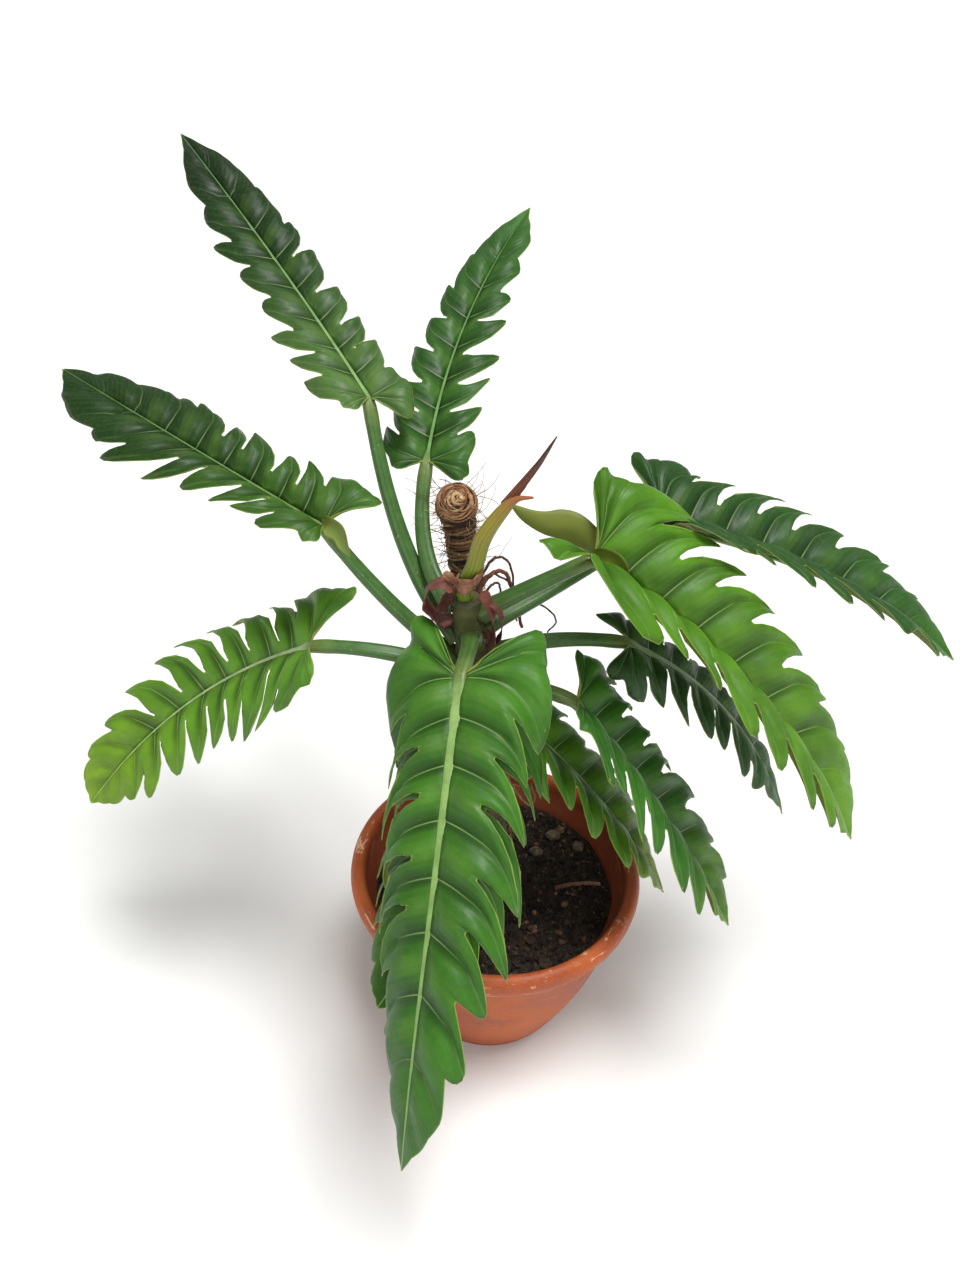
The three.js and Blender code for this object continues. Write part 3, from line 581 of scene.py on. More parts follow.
def soil_look():
    look = Look("potting_mix")
    tint = look.tint()
    grain = look.noise(190, 6, 0.7)
    look.colour = look.mix(look.range(grain, 0.35, 0.7), look.mix(0.85, tint, "050302"), tint)
    look.paint(look.range(look.noise(420, 2, 0.5), 0.64, 0.72, 0, 0.6), "7d6148")
    height = look.plus(grain, look.times(look.noise(600, 4, 0.7), 0.6))
    return look.finish(0.92, height, (0.9, 0.0016))


def bark_look():
    look = Look("stem_bark")
    rings = look.noise(34, 5, 0.7, look.squeezed(4.5))
    look.colour = look.mix(look.range(rings, 0.35, 0.65), "28241a", "5c5530")
    look.paint(look.range(look.noise(26, 4, 0.65), 0.4, 0.65, 0.1, 0.75), "5f6c2a")
    look.paint(look.times(look.attribute("scar"), 0.7), "8d7a55")
    height = look.plus(rings, look.times(look.noise(240, 4, 0.7), 0.5))
    return look.finish(0.72, height, (0.8, 0.0014))


def fibre_look(name, roughness=0.85):
    look = Look(name)
    tint = look.tint()
    grain = look.noise(330, 5, 0.7)
    look.colour = look.mix(look.range(grain, 0.3, 0.72), look.mix(0.55, tint, "1e120a"), tint)
    look.paint(look.range(look.noise(120), 0.58, 0.75, 0, 0.35), "c79a68")
    height = look.plus(grain, look.times(look.noise(900, 3, 0.7), 0.5))
    return look.finish(roughness, height, (0.7, 0.0008))


def sheath_look(name, first, middle, last, roughness):
    """A skin that goes through three colours along its run, with lengthwise streaks."""
    look = Look(name)
    run = look.attribute("run")
    look.colour = look.mix(look.range(run, 0.15, 0.6), first, middle)
    look.paint(look.range(run, 0.55, 0.95), last)
    streaks = look.waves(look.attribute("around"), 11.0)
    look.paint(look.range(streaks, 0.0, 1.0, 0, 0.18), "d0a060")
    look.paint(look.range(look.noise(260), 0.6, 0.72, 0, 0.45), last)
    height = look.plus(look.times(streaks, 0.6), look.noise(300, 4, 0.7))
    return look.finish(roughness, height, (0.4, 0.0008))


def stone_look():
    look = Look("pebble_stone")
    grain = look.noise(210, 6, 0.7)
    height = look.plus(grain, look.times(look.cells(300), 0.5))
    look.colour = look.mix(look.range(grain, 0.3, 0.7), "41362c", "7d7062")
    return look.finish(0.85, height, (0.7, 0.001))


LEAF_LOOKS = [leaf_top_look(), leaf_under_look(), stalk_look()]
DRY_SHEATH = fibre_look("dry_sheath", 0.6)
ROOT_SKIN = fibre_look("aerial_root", 0.65)
STONE = stone_look()


# Leaves

EAR_MIDDLE = -0.52
END_PARTS = (0.4, 0.72)
LOBE_POINTS = {"ear": 18, "lobe": 13, "end": 10}
ROWS = 15
OUTLINE = {"waist": (0.28, 0.56), "end": (0.66, 0.82), "taper": 3.7, "taper_power": 1.35}
RIB_COVER = 0.35
RELIEF = {
    "puff_gap": 26, "margin": 7.0, "margin_drop": 2.6, "lobe_drop": 9.0,
    "twist": 6.0, "tilt": 5, "ripple": 0.7,
}
THICKNESS = (0.95, 0.55)
WORN = 0.15
RIB_COLOURS = ("94b568", "7fae52")
STALK_COLOURS = {
    "skin": "3f6a2a", "base": "4a5a2a", "joint": "7d8a48", "rib_under": "8b9248", "under": "93ad62",
}


def rib_radius(share):
    return lerp(STALK["rib_radius"], 1 - (1 - share) ** 1.4)


def half_of(leaf, side):
    return leaf["left"] if side > 0 else leaf["right"]


def lobe_bounds(leaf):
    """Where the two parts of the ear, the lobes and the three parts of the undivided end meet."""
    n = leaf["lobes"]
    bounds = [-BLADE["fan"], EAR_MIDDLE * BLADE["fan"]]
    for i in range(n + 1):
        shift = 0.015 * wobble(leaf["seed"], i) if 0 < i < n else 0
        bounds.append(lerp((BLADE["first_lobe"], leaf["lobed"]), (i / n) ** 1.12) + shift)
    return bounds + [lerp((leaf["lobed"], 1), part) for part in END_PARTS] + [1]


def lobe_depths(leaf, side):
    """Shares of the full width that the notches leave whole, and that the lobes reach."""
    key = leaf["seed"] + (0.5 if side > 0 else 0.2)
    n = leaf["lobes"]
    half = half_of(leaf, side)
    sinus = half[3] if len(half) > 3 else leaf["sinus"]
    cuts = [BLADE["root_length"], half[2][2] if len(half[2]) > 2 else 0.86]
    for i in range(n + 1):
        cuts.append(sinus + 0.07 * wobble(key, i + 20) + lerp((-0.02, 0.06), i / n))
    cuts[2] = 0.5 * sinus + 0.42
    cuts[n + 1] = max(cuts[n + 1], 0.66)
    cuts[n + 2] = 0.82
    cuts += [0.96, 0.95, 1]
    return cuts, [0.97 + 0.09 * wobble(key, i + 40) for i in range(len(cuts) - 1)]


def lobe_reach(depths, lobe, x):
    """Share of the full width that a lobe reaches at a place from 0 to 1 along it."""
    low, high, following = depths[0][lobe], depths[1][lobe], depths[0][lobe + 1]
    if lobe > len(depths[0]) - 5:
        return lerp((low, following), 1 - (1 - x) ** 2) + 0.04 * math.sin(math.pi * x)
    peak = 0.45 if lobe == 0 else BLADE["lobe_peak"]
    foot = 0 if lobe == 0 else BLADE["lobe_foot"]
    if x < peak:
        rise = max((x - foot) / (peak - foot), 0)
        return low + (high - low) * math.sin(math.pi / 2 * rise) ** 0.8
    fall = math.cos(math.pi / 2 * (x - peak) / (1 - peak))
    return following + (high - following) * max(fall, 0) ** 0.82


def vein_roots(bounds):
    """Where the main veins leave the midrib and where they reach the margin, as places along the midrib."""
    roots, ends = [], []
    last = len(bounds) - 4
    for lobe in range(last + 2):
        pairs = [(0.45, BLADE["lobe_peak"])]
        if lobe == 0:
            pairs = [(0.1, 0.22), (0.62, 0.7)]
        elif lobe > last:
            pairs = [(0.35, 0.75)]
        for root, end in pairs:
            roots.append(lerp(bounds[lobe:lobe + 2], root))
            ends.append(lerp(bounds[lobe:lobe + 2], end))
    return np.array(roots), np.array(ends)


def vein_places(bounds, at, t):
    """A coordinate that is a whole number on each main vein, and the step between veins, over a grid."""
    roots, ends = vein_roots(bounds)
    vein = np.zeros_like(t)
    gap = np.zeros_like(t)
    for j in range(t.shape[1]):
        veins = roots + (ends - roots) * t[:, j].mean()
        index = np.clip(np.searchsorted(veins, at[:, 0], side="right") - 1, 0, len(veins) - 2)
        gap[:, j] = np.diff(veins)[index]
        vein[:, j] = index + (at[:, 0] - veins[index]) / gap[:, j]
    return vein, gap


def bent_line(start, bend, shares):
    """Points of a line whose azimuth and pitch go from their first to their last value."""
    length, azimuth, pitch = bend[:3]
    steps = heading(lerp(azimuth, shares), lerp(pitch, shares)) * length / len(shares)
    return np.vstack([start, start + np.cumsum(steps, axis=0)])


def leaf_lines(leaf):
    """Points of the stalk, which bends most near the stem, and of the midrib."""
    count = BLADE["steps"]
    start = axis_at(STEM, leaf["node"]) + STALK["start"] * heading(leaf["stalk"][1][0], 0)
    stalk = bent_line(start, leaf["stalk"], np.sqrt((np.arange(count // 2) + 0.5) / (count // 2)))
    return stalk, bent_line(stalk[-1], leaf["blade"], (np.arange(count) + 0.5) / count)


def blade_frame(leaf, line, share):
    """Point, left side and face normal of the blade, and its direction, at shares of its midrib."""
    length, azimuth, pitch, roll = leaf["blade"]
    inside = np.clip(share, 0, 1)
    knots = np.linspace(0, 1, len(line))
    point = np.stack([np.interp(inside, knots, line[:, k]) for k in range(3)], -1)
    middle = (share + inside) / 2
    outward = heading(lerp(azimuth, middle), lerp(pitch, middle))
    point = point + outward * ((share - inside) * length)[..., None]
    turn = lerp(azimuth, share)
    along = heading(turn, lerp(pitch, share))
    flat_left = heading(turn + 90, 0 * turn)
    flat_up = np.cross(along, flat_left)
    bank = np.radians(lerp(roll, inside))[..., None]
    left = flat_left * np.cos(bank) + flat_up * np.sin(bank)
    up = flat_up * np.cos(bank) - flat_left * np.sin(bank)
    return point, left, up, along


def blade_points(leaf, line, side, root, forward, outward):
    """Points of a folded and arched half, forward and outward of places on the midrib."""
    fold, arch = half_of(leaf, side)[:2]
    share = root + BLADE["follow"] * forward / leaf["blade"][0]
    point, left, up, along = blade_frame(leaf, line, share)
    fold = np.radians(lerp(fold, np.clip(root, 0, 1)))
    rate = math.radians(arch) / leaf["half_width"]
    across = (np.sin(fold) - np.sin(fold - rate * outward)) / rate
    rise = (np.cos(fold - rate * outward) - np.cos(fold)) / rate
    return (point + along * ((1 - BLADE["follow"]) * forward)[..., None]
            + left * (side * across)[..., None] + up * rise[..., None])


def lobe_places(count):
    """Lobe and place within it of each column of a half's grid, closest beside the notches."""
    lobes, places = [], []
    for lobe in range(count):
        n = LOBE_POINTS["ear" if lobe == 0 else "lobe" if lobe < count - 3 else "end"]
        lobes += [lobe] * n
        places += [(1 - math.cos(math.pi * k / n)) / 2 for k in range(n)]
    return lobes + [count - 1], places + [0.93]


def leaf_tint(leaf, root, k, lobe, seed):
    """Colour of the upper face: three colours along the blade, and a little of its own for each lobe."""
    colours = [linear(colour) for colour in leaf["colours"]]
    share = np.clip(root, 0, 1)[..., None] * 2
    tint = np.where(share < 1, lerp(colours[:2], share), lerp(colours[1:], share - 1))
    warm = np.array((1.04, 1.0, 0.62))
    own = np.array([1 + 0.13 * wobble(seed, m + 7) for m in lobe])
    return tint * warm * own[:, None, None] * (1 + 0.10 * (k - 0.5))[..., None]


def add_half(builder, leaf, line, side):
    """One half of a blade; each column of its grid runs from the midrib to the margin."""
    bounds = lobe_bounds(leaf)
    depths = lobe_depths(leaf, side)
    count = len(bounds) - 1
    lobes, places = lobe_places(count)
    lobe = np.array(lobes)
    x = np.array(places)[:, None]
    at = np.minimum(np.array(bounds)[lobe, None] + np.diff(bounds)[lobe, None] * x, BLADE["tip"])
    reach = np.array([lobe_reach(depths, *place) for place in zip(lobes, places)])[:, None]
    root = np.maximum(at, 0)
    fan = np.maximum(-at, 0) / BLADE["fan"]

    # outline, then the curve that each column takes forward and outward
    ear_angle, ear_length = half_of(leaf, side)[2][:2]
    angle = lerp(BLADE["vein_angle"], root ** 2.5)
    start = np.radians(angle + (ear_angle - angle) * fan)
    waist = 1 - leaf.get("waist", 0) * smooth(root, *OUTLINE["waist"])
    end = 1 + (leaf["end"] - 1) * smooth(root, *OUTLINE["end"])
    taper = (1 - root ** OUTLINE["taper"]) ** OUTLINE["taper_power"]
    full = leaf["half_width"] * taper * end * waist * (1 + ear_length * fan)
    curl = np.radians(lerp(BLADE["curl"], root) * (1 - 2 * fan))
    curl = np.where(np.abs(curl) < 1e-3, 1e-3, curl)
    first = np.minimum(RIB_COVER * rib_radius(root) / (full * reach), 0.5)
    t = first + (1 - first) * np.linspace(0, 1, ROWS) ** 0.85
    k = reach * t
    finish = start - curl * k
    hook = BLADE["hook"] * np.maximum(k - BLADE["hook_from"], 0) ** 2 * (1 - fan)
    forward = full * ((np.sin(start) - np.sin(finish)) / curl + hook)
    outward = full * (np.cos(finish) - np.cos(start)) / curl
    base = blade_points(leaf, line, side, np.broadcast_to(root, t.shape), forward, outward)

    # distance from the margin and between the veins
    across = np.gradient(base, axis=0)
    outer = np.gradient(base, axis=1)
    cross = np.cross(across, outer)
    height = norm(cross) / np.maximum(norm(across), 1e-6) / np.gradient(t, axis=1)
    edge = np.minimum((1 - t) * height, 30)
    vein, gap = vein_places(bounds, at, t)
    width = norm(cross) / np.maximum(norm(outer), 1e-6) / np.maximum(np.gradient(at, axis=0), 1e-5)
    gap = np.clip(width * gap, 2, 60)

    # relief: panels puffed up between the veins, margins turned down, each lobe a little on its own
    def own(first_index):
        return np.array([wobble(leaf["seed"] * 3 + (side > 0), m + first_index) for m in lobes])[:, None]

    nearest = np.array(depths[0])[np.where(x[:, 0] < 0.5, lobe, lobe + 1), None]
    lobed = smooth(k, nearest - 0.02, nearest + 0.2) * (lobe < count - 3)[:, None]
    size = np.clip(full / leaf["half_width"], 0.12, 1)
    spread = np.clip(gap / RELIEF["puff_gap"], 0.3, 1.2) * np.clip(1.35 * size, 0, 1) ** 1.5
    apart = 2 * np.abs(np.mod(vein + 0.5, 1) - 0.5)
    quilt = (np.sin(np.pi / 2 * apart) ** 0.7 - 0.45) * smooth(k, 0.03, 0.28)
    lift = leaf["puff"] * (1 + 0.3 * own(60) * lobed) * spread * quilt
    lift -= RELIEF["margin_drop"] * size * (1 - smooth(edge, 0, RELIEF["margin"])) * smooth(k, 0.3, 0.6)
    drop = RELIEF["lobe_drop"] * (1 + 0.7 * own(100) * lobed)
    lift -= size * drop * np.clip((k - 0.45) / 0.55, 0, 1) ** 2
    lift += size * (RELIEF["twist"] * own(80) + RELIEF["tilt"]) * lobed * (x - 0.5)
    lift += RELIEF["ripple"] * size * np.sin(x * 9 + lobe[:, None] * 2.1 + 5 * k) * t ** 5
    lift *= smooth(root, 0.98, 0.85)
    top = base + unit(side * cross) * lift[..., None]
    normal = unit(side * np.cross(np.gradient(top, axis=0), np.gradient(top, axis=1)))
    bottom = top - normal * lerp(THICKNESS, smooth(t, 0.85, 1.0))[..., None]
    # strength of the pale veins and of the painted shade and highlight beside and between them
    strength = (0.62 - 0.5 * smooth(k, 0.1, 0.85)) * (1 - 0.9 * smooth(root, 0.6, 0.88))
    add_shell(builder, top, bottom, side < 0, edge=edge, vein=vein, vein_gap=gap, vein_strength=strength,
              worn=WORN, tint=leaf_tint(leaf, root, k, lobes, leaf["seed"] + side))


def smooth_bend(points, middle, reach):
    """Rounds the bend of a line at one of its points by averaging the points beside it."""
    out = points.copy()
    inside = slice(max(1, middle - reach), min(len(out) - 1, middle + reach + 1))
    for _ in range(3):
        mean = (out[:-2] + out[1:-1] * 2 + out[2:]) / 4
        out[inside] = mean[inside.start - 1:inside.stop - 1]
    return out


def add_stalk(builder, leaf, stalk, line):
    """Stalk and midrib as one bar: round with a shallow channel above, then flat above and round below."""
    shares = np.linspace(0, BLADE["tip"], STALK["rib_points"])
    rib_points, _, rib_up, _ = blade_frame(leaf, line, shares)
    joint = len(stalk) - 1
    points = smooth_bend(np.vstack([stalk[:-1], rib_points]), joint, 3)
    along = unit(np.gradient(points, axis=0))
    ups = np.vstack([stalk[:-1] * 0, rib_up])
    up = rib_up[0]
    for i in range(joint, -1, -1):
        up = square_to(along[i], up)
        ups[i] = up
    ups = square_to(along, ups)
    run = np.concatenate([[0], np.cumsum(norm(np.diff(points, axis=0)))])[:, None]
    to_joint = run - run[joint]
    on_blade = smooth(to_joint, -6, 14)
    share = np.clip(to_joint / leaf["blade"][0], 0, 1)
    swell = 1 + 0.30 * bell(run, 0, 14) + 0.10 * bell(to_joint, -14, 10)
    radius = lerp(STALK["radius"], np.clip(run / run[joint], 0, 1)) * swell
    rib = rib_radius(share)
    half = lerp((radius, rib * 1.05), on_blade)
    above = lerp((radius * 0.8, 0.3 + 0.12 * rib), on_blade)
    below = lerp((radius, rib * 1.1), on_blade)
    turn = turns(STALK["sides"])
    flat = np.sign(np.cos(turn)) * np.abs(np.cos(turn)) ** 0.8
    high = np.sin(turn)
    channel = 0.16 * bell(flat, 0, 0.45) * (high > 0) * radius * (1 - on_blade)
    vertical = np.where(high > 0, above, below) * high - 0.2 * on_blade - channel
    rings = points[:, None] + np.cross(ups, along)[:, None] * (half * flat)[..., None]
    rings = rings + ups[:, None] * vertical[..., None]
    skin, base, knee, rib_under, under = (linear(colour) for colour in STALK_COLOURS.values())
    tint = lerp((skin, base), np.exp(-run / 30))
    tint = lerp((tint, knee), 0.6 * bell(to_joint, -6, 16))
    rib_colours = [linear(colour) for colour in leaf.get("rib", RIB_COLOURS)]
    tint = lerp((tint, lerp(rib_colours, share)), on_blade)[:, None]
    mix = on_blade[..., None]
    tint = lerp((tint, rib_under), 0.5 * np.clip(-high, 0, 1)[:, None] * mix)
    tint = lerp((tint, under), 0.55 * smooth(-high, 0.05, 0.75)[:, None] * (1 - mix))
    builder.add_rings(rings, STALK_SKIN, flip=True, tint=tint, around=turn)


# Lobes by the stalk that have curled over: route from the joint as right, up and toward the camera, width,
# direction of the width in the same way, and colour

CURLED_LOBES = {
    "leaf_right_near": [
        ([(0, 2, -5), (-5, 15, -11), (-18, 24, -14), (-38, 25, -12), (-55, 31, -8), (-70, 39, -4)], 26,
         (0.25, 1.0, 0.5), "666c1e"),
        ([(0, 0, 3), (9, 0, 8), (18, -6, 11), (24, -16, 10), (27, -27, 6)], 19, (0.7, 0.6, 0.5), "6c7424"),
    ],
    "leaf_left_upper": [
        ([(0, 0, 3), (7, 0, 8), (15, -6, 9), (20, -15, 8), (25, -24, 4)], 17, (0.6, 0.7, 0.4), "7da05a"),
    ],
}


def add_curled_lobe(builder, joint, route, width, across, colour):
    pitch = math.radians(CAMERA["pitch"])
    level, steep = math.cos(pitch), math.sin(pitch)
    axes = np.array([(1, 0, 0), (0, steep, level), (0, -level, steep)])
    count = 30
    points = joint + curve_points(route, count) @ axes
    along = unit(np.gradient(points, axis=0))
    across = square_to(along, np.array(across) @ axes)
    normal = np.cross(along, across)
    share = np.linspace(0, 1, count)[:, None]
    half = 0.5 * width * np.maximum(np.sin(np.pi * (0.1 + 0.9 * share ** 0.75)), 0.02) ** 0.8
    u = np.linspace(-1, 1, 9)
    ripple = 1 + 0.12 * np.sin(share * 11 + 2 * u)
    rise = half * (0.42 * u ** 2 + 0.08 * np.sin(share * 14) * u)
    face = points[:, None] + across[:, None] * (half * u * ripple)[..., None]
    face = face + normal[:, None] * rise[..., None]
    edge = np.tile((1 - np.abs(u)) * 0.5 * width, 2)
    add_strip(builder, face, normal, 0.7, UNDER, edge=edge, vein=0.5, vein_gap=20, tint=linear(colour))


def build_leaf(name, leaf):
    builder = Builder()
    stalk, line = leaf_lines(leaf)
    for side in (1, -1):
        add_half(builder, leaf, line, side)
    add_stalk(builder, leaf, stalk, line)
    for curled in CURLED_LOBES.get(name, []):
        add_curled_lobe(builder, line[0], *curled)
    builder.build(name, LEAF_LOOKS)


# Pot and soil

# Foot as distance beyond the foot's radius and height, rim as radius and height
FOOT_PROFILE = [(-2, 0), (-0.6, 0.8), (0.2, 3), (0.4, 5.2), (-0.4, 6.2), (1.2, 7.4)]
RIM_PROFILE = [
    (139.5, 175.4), (143, 178), (146, 181), (148, 184.5), (149.3, 188), (149.8, 192), (149.2, 196),
    (147.8, 199.5), (145.6, 202), (142.5, 203.6), (140, 203.6), (137.6, 202.4), (135.6, 199.5),
    (134.4, 195.5), (133.6, 190), (132, 182),
]
RIM_INNER_POINTS = 4
CENTRE = 0.5
POT_SIDES = 144
SOIL_GRID = {"rings": 44, "sides": 120, "wall_heights": (120, 60, 12.6)}
CRUMBS = {
    "count": 2400, "quick_count": 700, "sizes": (1.1, 1.6, 2.3, 3.3), "gap": 0.6,
    "colours": ["2a1e16", "3d2c1e", "1d1510", "4d3828", "6a503a", "33251c"], "under": "3a2c22",
}


def pot_radius(z):
    share = z / (POT["height"] - POT["rim_depth"])
    straight = lerp((POT["foot_radius"], POT["body_radius"]), share)
    return straight + POT["bulge"] * math.sin(math.pi * min(share, 1))


def inner_radius(z):
    return min(pot_radius(z) - POT["wall"], POT["mouth_radius"])


def level_ring(radius, z, turn):
    return np.stack([radius * np.cos(turn), radius * np.sin(turn), z + 0 * radius * turn], -1)


def build_pot():
    builder = Builder()
    rim, floor = POT["height"] - POT["rim_depth"], POT["floor"]
    outer = [(POT["foot_radius"] + out, z) for out, z in FOOT_PROFILE]
    outer += [(pot_radius(z), z) for z in np.linspace(floor, rim - 2, 26)]
    outer += [(pot_radius(rim) + 0.2, rim)] + RIM_PROFILE
    inner = [(inner_radius(z), z) for z in np.linspace(rim - 2, floor, 14)]
    profile = np.array([(CENTRE, 0)] + outer + inner + [(CENTRE, floor)])
    radius, z = profile[:, :1], profile[:, 1:]
    turn = turns(POT_SIDES)
    radius = radius * (1 + 0.0012 * np.sin(3 * turn) + 0.0008 * np.sin(7 * turn + 1))
    inside_from = 1 + len(outer) - RIM_INNER_POINTS
    inside = np.clip((np.arange(len(profile))[:, None] - inside_from) / 2, 0, 1)
    wear = np.where(z > rim + 2, 0.85, 0.12) * (1 - inside * 0.6)
    # foot marks where the painted shade of the groove near the foot falls
    foot = bell(z, 5.8, 1.3) * (1 - inside)
    builder.add(level_ring(radius, z, turn), grid_faces(len(profile), len(turn), closed=True),
                inside=inside, wear=wear, foot=foot)
    builder.build("pot", [terracotta_look()])


def soil_height(x, y):
    lumps = 2.2 * np.sin(x / 17 + 1.3) * np.cos(y / 13 + 0.6)
    return SOIL_TOP + lumps + 1.0 * np.sin(x / 5.1 + y / 7.3) * np.sin(y / 4.3 - x / 9.0)


def crumb(rnd, size):
    """Points and faces of one crumb: a rough lump with twelve corners and flattened sides."""
    golden = (1 + 5 ** 0.5) / 2
    corners = np.array([(-1, golden, 0), (1, golden, 0), (-1, -golden, 0), (1, -golden, 0),
                        (0, -1, golden), (0, 1, golden), (0, -1, -golden), (0, 1, -golden),
                        (golden, 0, -1), (golden, 0, 1), (-golden, 0, -1), (-golden, 0, 1)], float)
    faces = [(0, 11, 5), (0, 5, 1), (0, 1, 7), (0, 7, 10), (0, 10, 11), (1, 5, 9), (5, 11, 4),
             (11, 10, 2), (10, 7, 6), (7, 1, 8), (3, 9, 4), (3, 4, 2), (3, 2, 6), (3, 6, 8), (3, 8, 9),
             (4, 9, 5), (2, 4, 11), (6, 2, 10), (8, 6, 7), (9, 8, 1)]
    corners = unit(corners) * np.array([rnd.uniform(0.7, 1.25) for _ in corners])[:, None]
    corners *= np.array([rnd.uniform(0.7, 1.3), rnd.uniform(0.6, 1.1), 0.7])
    turn = Matrix.Rotation(rnd.uniform(0, 6.28), 3, "Z") @ Matrix.Rotation(rnd.uniform(-0.7, 0.7), 3, "X")
    return corners @ np.array(turn).T * size, faces


def build_soil():
    builder = Builder()
    edge = inner_radius(SOIL_TOP) - CRUMBS["gap"]
    radius = edge * np.linspace(0.004, 1, SOIL_GRID["rings"])[:, None] ** 0.85
    turn = turns(SOIL_GRID["sides"])
    top = level_ring(radius, 0, turn)
    top[..., 2] = soil_height(top[..., 0], top[..., 1])
    side = [level_ring(inner_radius(z) - CRUMBS["gap"], z, turn) for z in SOIL_GRID["wall_heights"]]
    side.append(side[-1] * np.array([0.01, 0.01, 1]))
    points = np.concatenate([top, side])
    faces = grid_faces(len(points), len(turn), closed=True, flip=True)
    builder.add(points, faces, tint=linear(CRUMBS["under"]))
    rnd = random.Random(12)
    for _ in range(CRUMBS["count"]):
        r = edge * math.sqrt(rnd.random()) * 0.985
        a = rnd.uniform(0, 2 * math.pi)
        x, y = r * math.cos(a), r * math.sin(a)
        size = rnd.choice(CRUMBS["sizes"]) * rnd.uniform(0.8, 1.3)
        if rnd.random() < 0.02:
            size *= 1.9
        corners, faces = crumb(rnd, size)
        centre = np.array([x, y, float(soil_height(x, y)) + 0.35 * size])
        centre[:2] *= min(edge / (r + size), 1)
        colour = linear(rnd.choice(CRUMBS["colours"])) * rnd.uniform(0.15, 1.0) ** 2 * 3.2
        builder.add(corners + centre, faces, tint=colour)
    builder.build("soil", [soil_look()], smooth_shade=False)


# Stem, pole and coir

STEM_RINGS = {"first": 176.0, "last": 520, "gap": 21, "turn": 0.4, "turn_step": 2.4, "lean": 7}
COIR_SHADES = ["8a6644", "a07a52", "6b4a2f", "ae8a60", "5f432c"]
HEAD_SHADES = ["b5845a", "c79a6c", "96663f", "d8b286", "8a5836"]
CORDS = {"strands": 5, "depth": 2.2, "step": 0.36, "rise_per_radian": (1.671176, 1.909916), "radius": 1.25}
HEAD = {
    "height": 588.5, "axis": (0.05, -0.72, 0.72), "cords": 96, "polar": (2.5, 0.24),
    "radius": 16.6, "roll_radius": 16.2, "cord_points": 24, "roll_points": 150,
}
FIBRES = {
    "count": 420, "quick_count": 60, "steps": 9, "radius": (0.36, 0.2),
    "low": 200, "middle": 470, "share_high": 0.75,
}


def build_stem():
    builder = Builder()
    heights = np.linspace(STEM["bottom"], STEM["top"], 150)
    turn = turns(40)
    relief = 0.25 * np.sin(5 * turn + heights[:, None] / 9)
    scar = 0 * relief
    level, turn_at = STEM_RINGS["first"], STEM_RINGS["turn"]
    while level < STEM_RINGS["last"]:
        away = heights[:, None] - level - STEM_RINGS["lean"] * np.cos(turn - turn_at)
        relief += 0.9 * bell(away, 0, 2.2) - 0.5 * bell(away, 5, 2.5)
        scar += np.clip(np.cos(turn - turn_at), 0, 1) ** 2 * bell(away, 3.5, 4.0)
        level += STEM_RINGS["gap"] + 4 * wobble(3, int(level))
        turn_at += STEM_RINGS["turn_step"]
    radii = lerp(STEM["radius"], np.linspace(0, 1, len(heights))) - 1.0
    add_lathe(builder, STEM, heights, radii, len(turn), relief, scar=np.clip(scar, 0, 1))
    builder.build("stem", [bark_look()])


def build_core():
    builder = Builder()
    heights = np.append(np.linspace(POLE["bottom"], POLE["top"] - 1, 30), POLE["top"] - 0.3)
    radii = np.full(len(heights), POLE["radius"] - 0.1)
    radii[-1] -= 0.7
    grain = 0.12 * np.sin(9 * turns(28))
    add_lathe(builder, POLE, heights, radii, 28, grain, tint=linear("c9a877"))
    builder.build("pole_core", [fibre_look("pole_wood", 0.75)])


def around_pole(z, turn, radius):
    """Point beside the pole at a height, a turn about its axis and a distance from it."""
    return axis_at(POLE, z) + radius * np.array([math.cos(turn), math.sin(turn), 0.0])


def wrap_radius(z):
    radius = WRAP["radius"] - CORDS["depth"]
    rise = float(smooth(z, WRAP["head_bottom"] - 4, WRAP["head_bottom"] + 8))
    top = max(0.0, (z - (WRAP["head_top"] - 15)) / 15)
    return radius + (WRAP["head_radius"] - WRAP["radius"]) * rise - 8.0 * top ** 2.2


def add_column_cords(builder, rnd):
    """Cords wound up the column."""
    for strand in range(CORDS["strands"]):
        points = []
        z = WRAP["bottom"] + 3 + strand * 2.2
        turn = strand * 1.25
        rise = rnd.uniform(*CORDS["rise_per_radian"])
        while z < WRAP["head_bottom"] + 4:
            beside = wrap_radius(z) + 0.54 * math.sin(turn * 2.3 + strand * 2)
            points.append(around_pole(z + 1.2 * math.sin(turn * 1.7 + strand), turn, beside))
            turn += CORDS["step"]
            z += rise * CORDS["step"] * (1 + 0.25 * math.sin(turn * 0.31))
        place = np.arange(len(points))
        share = (0.5 + 0.5 * np.sin(place * 0.21 + strand))[:, None]
        tint = lerp((linear(COIR_SHADES[(strand + 2) % 5]), linear(COIR_SHADES[strand])), share)
        add_tube(builder, points, CORDS["radius"] + 0.35 * np.sin(place * 0.33 + strand * 3), 6, tint)


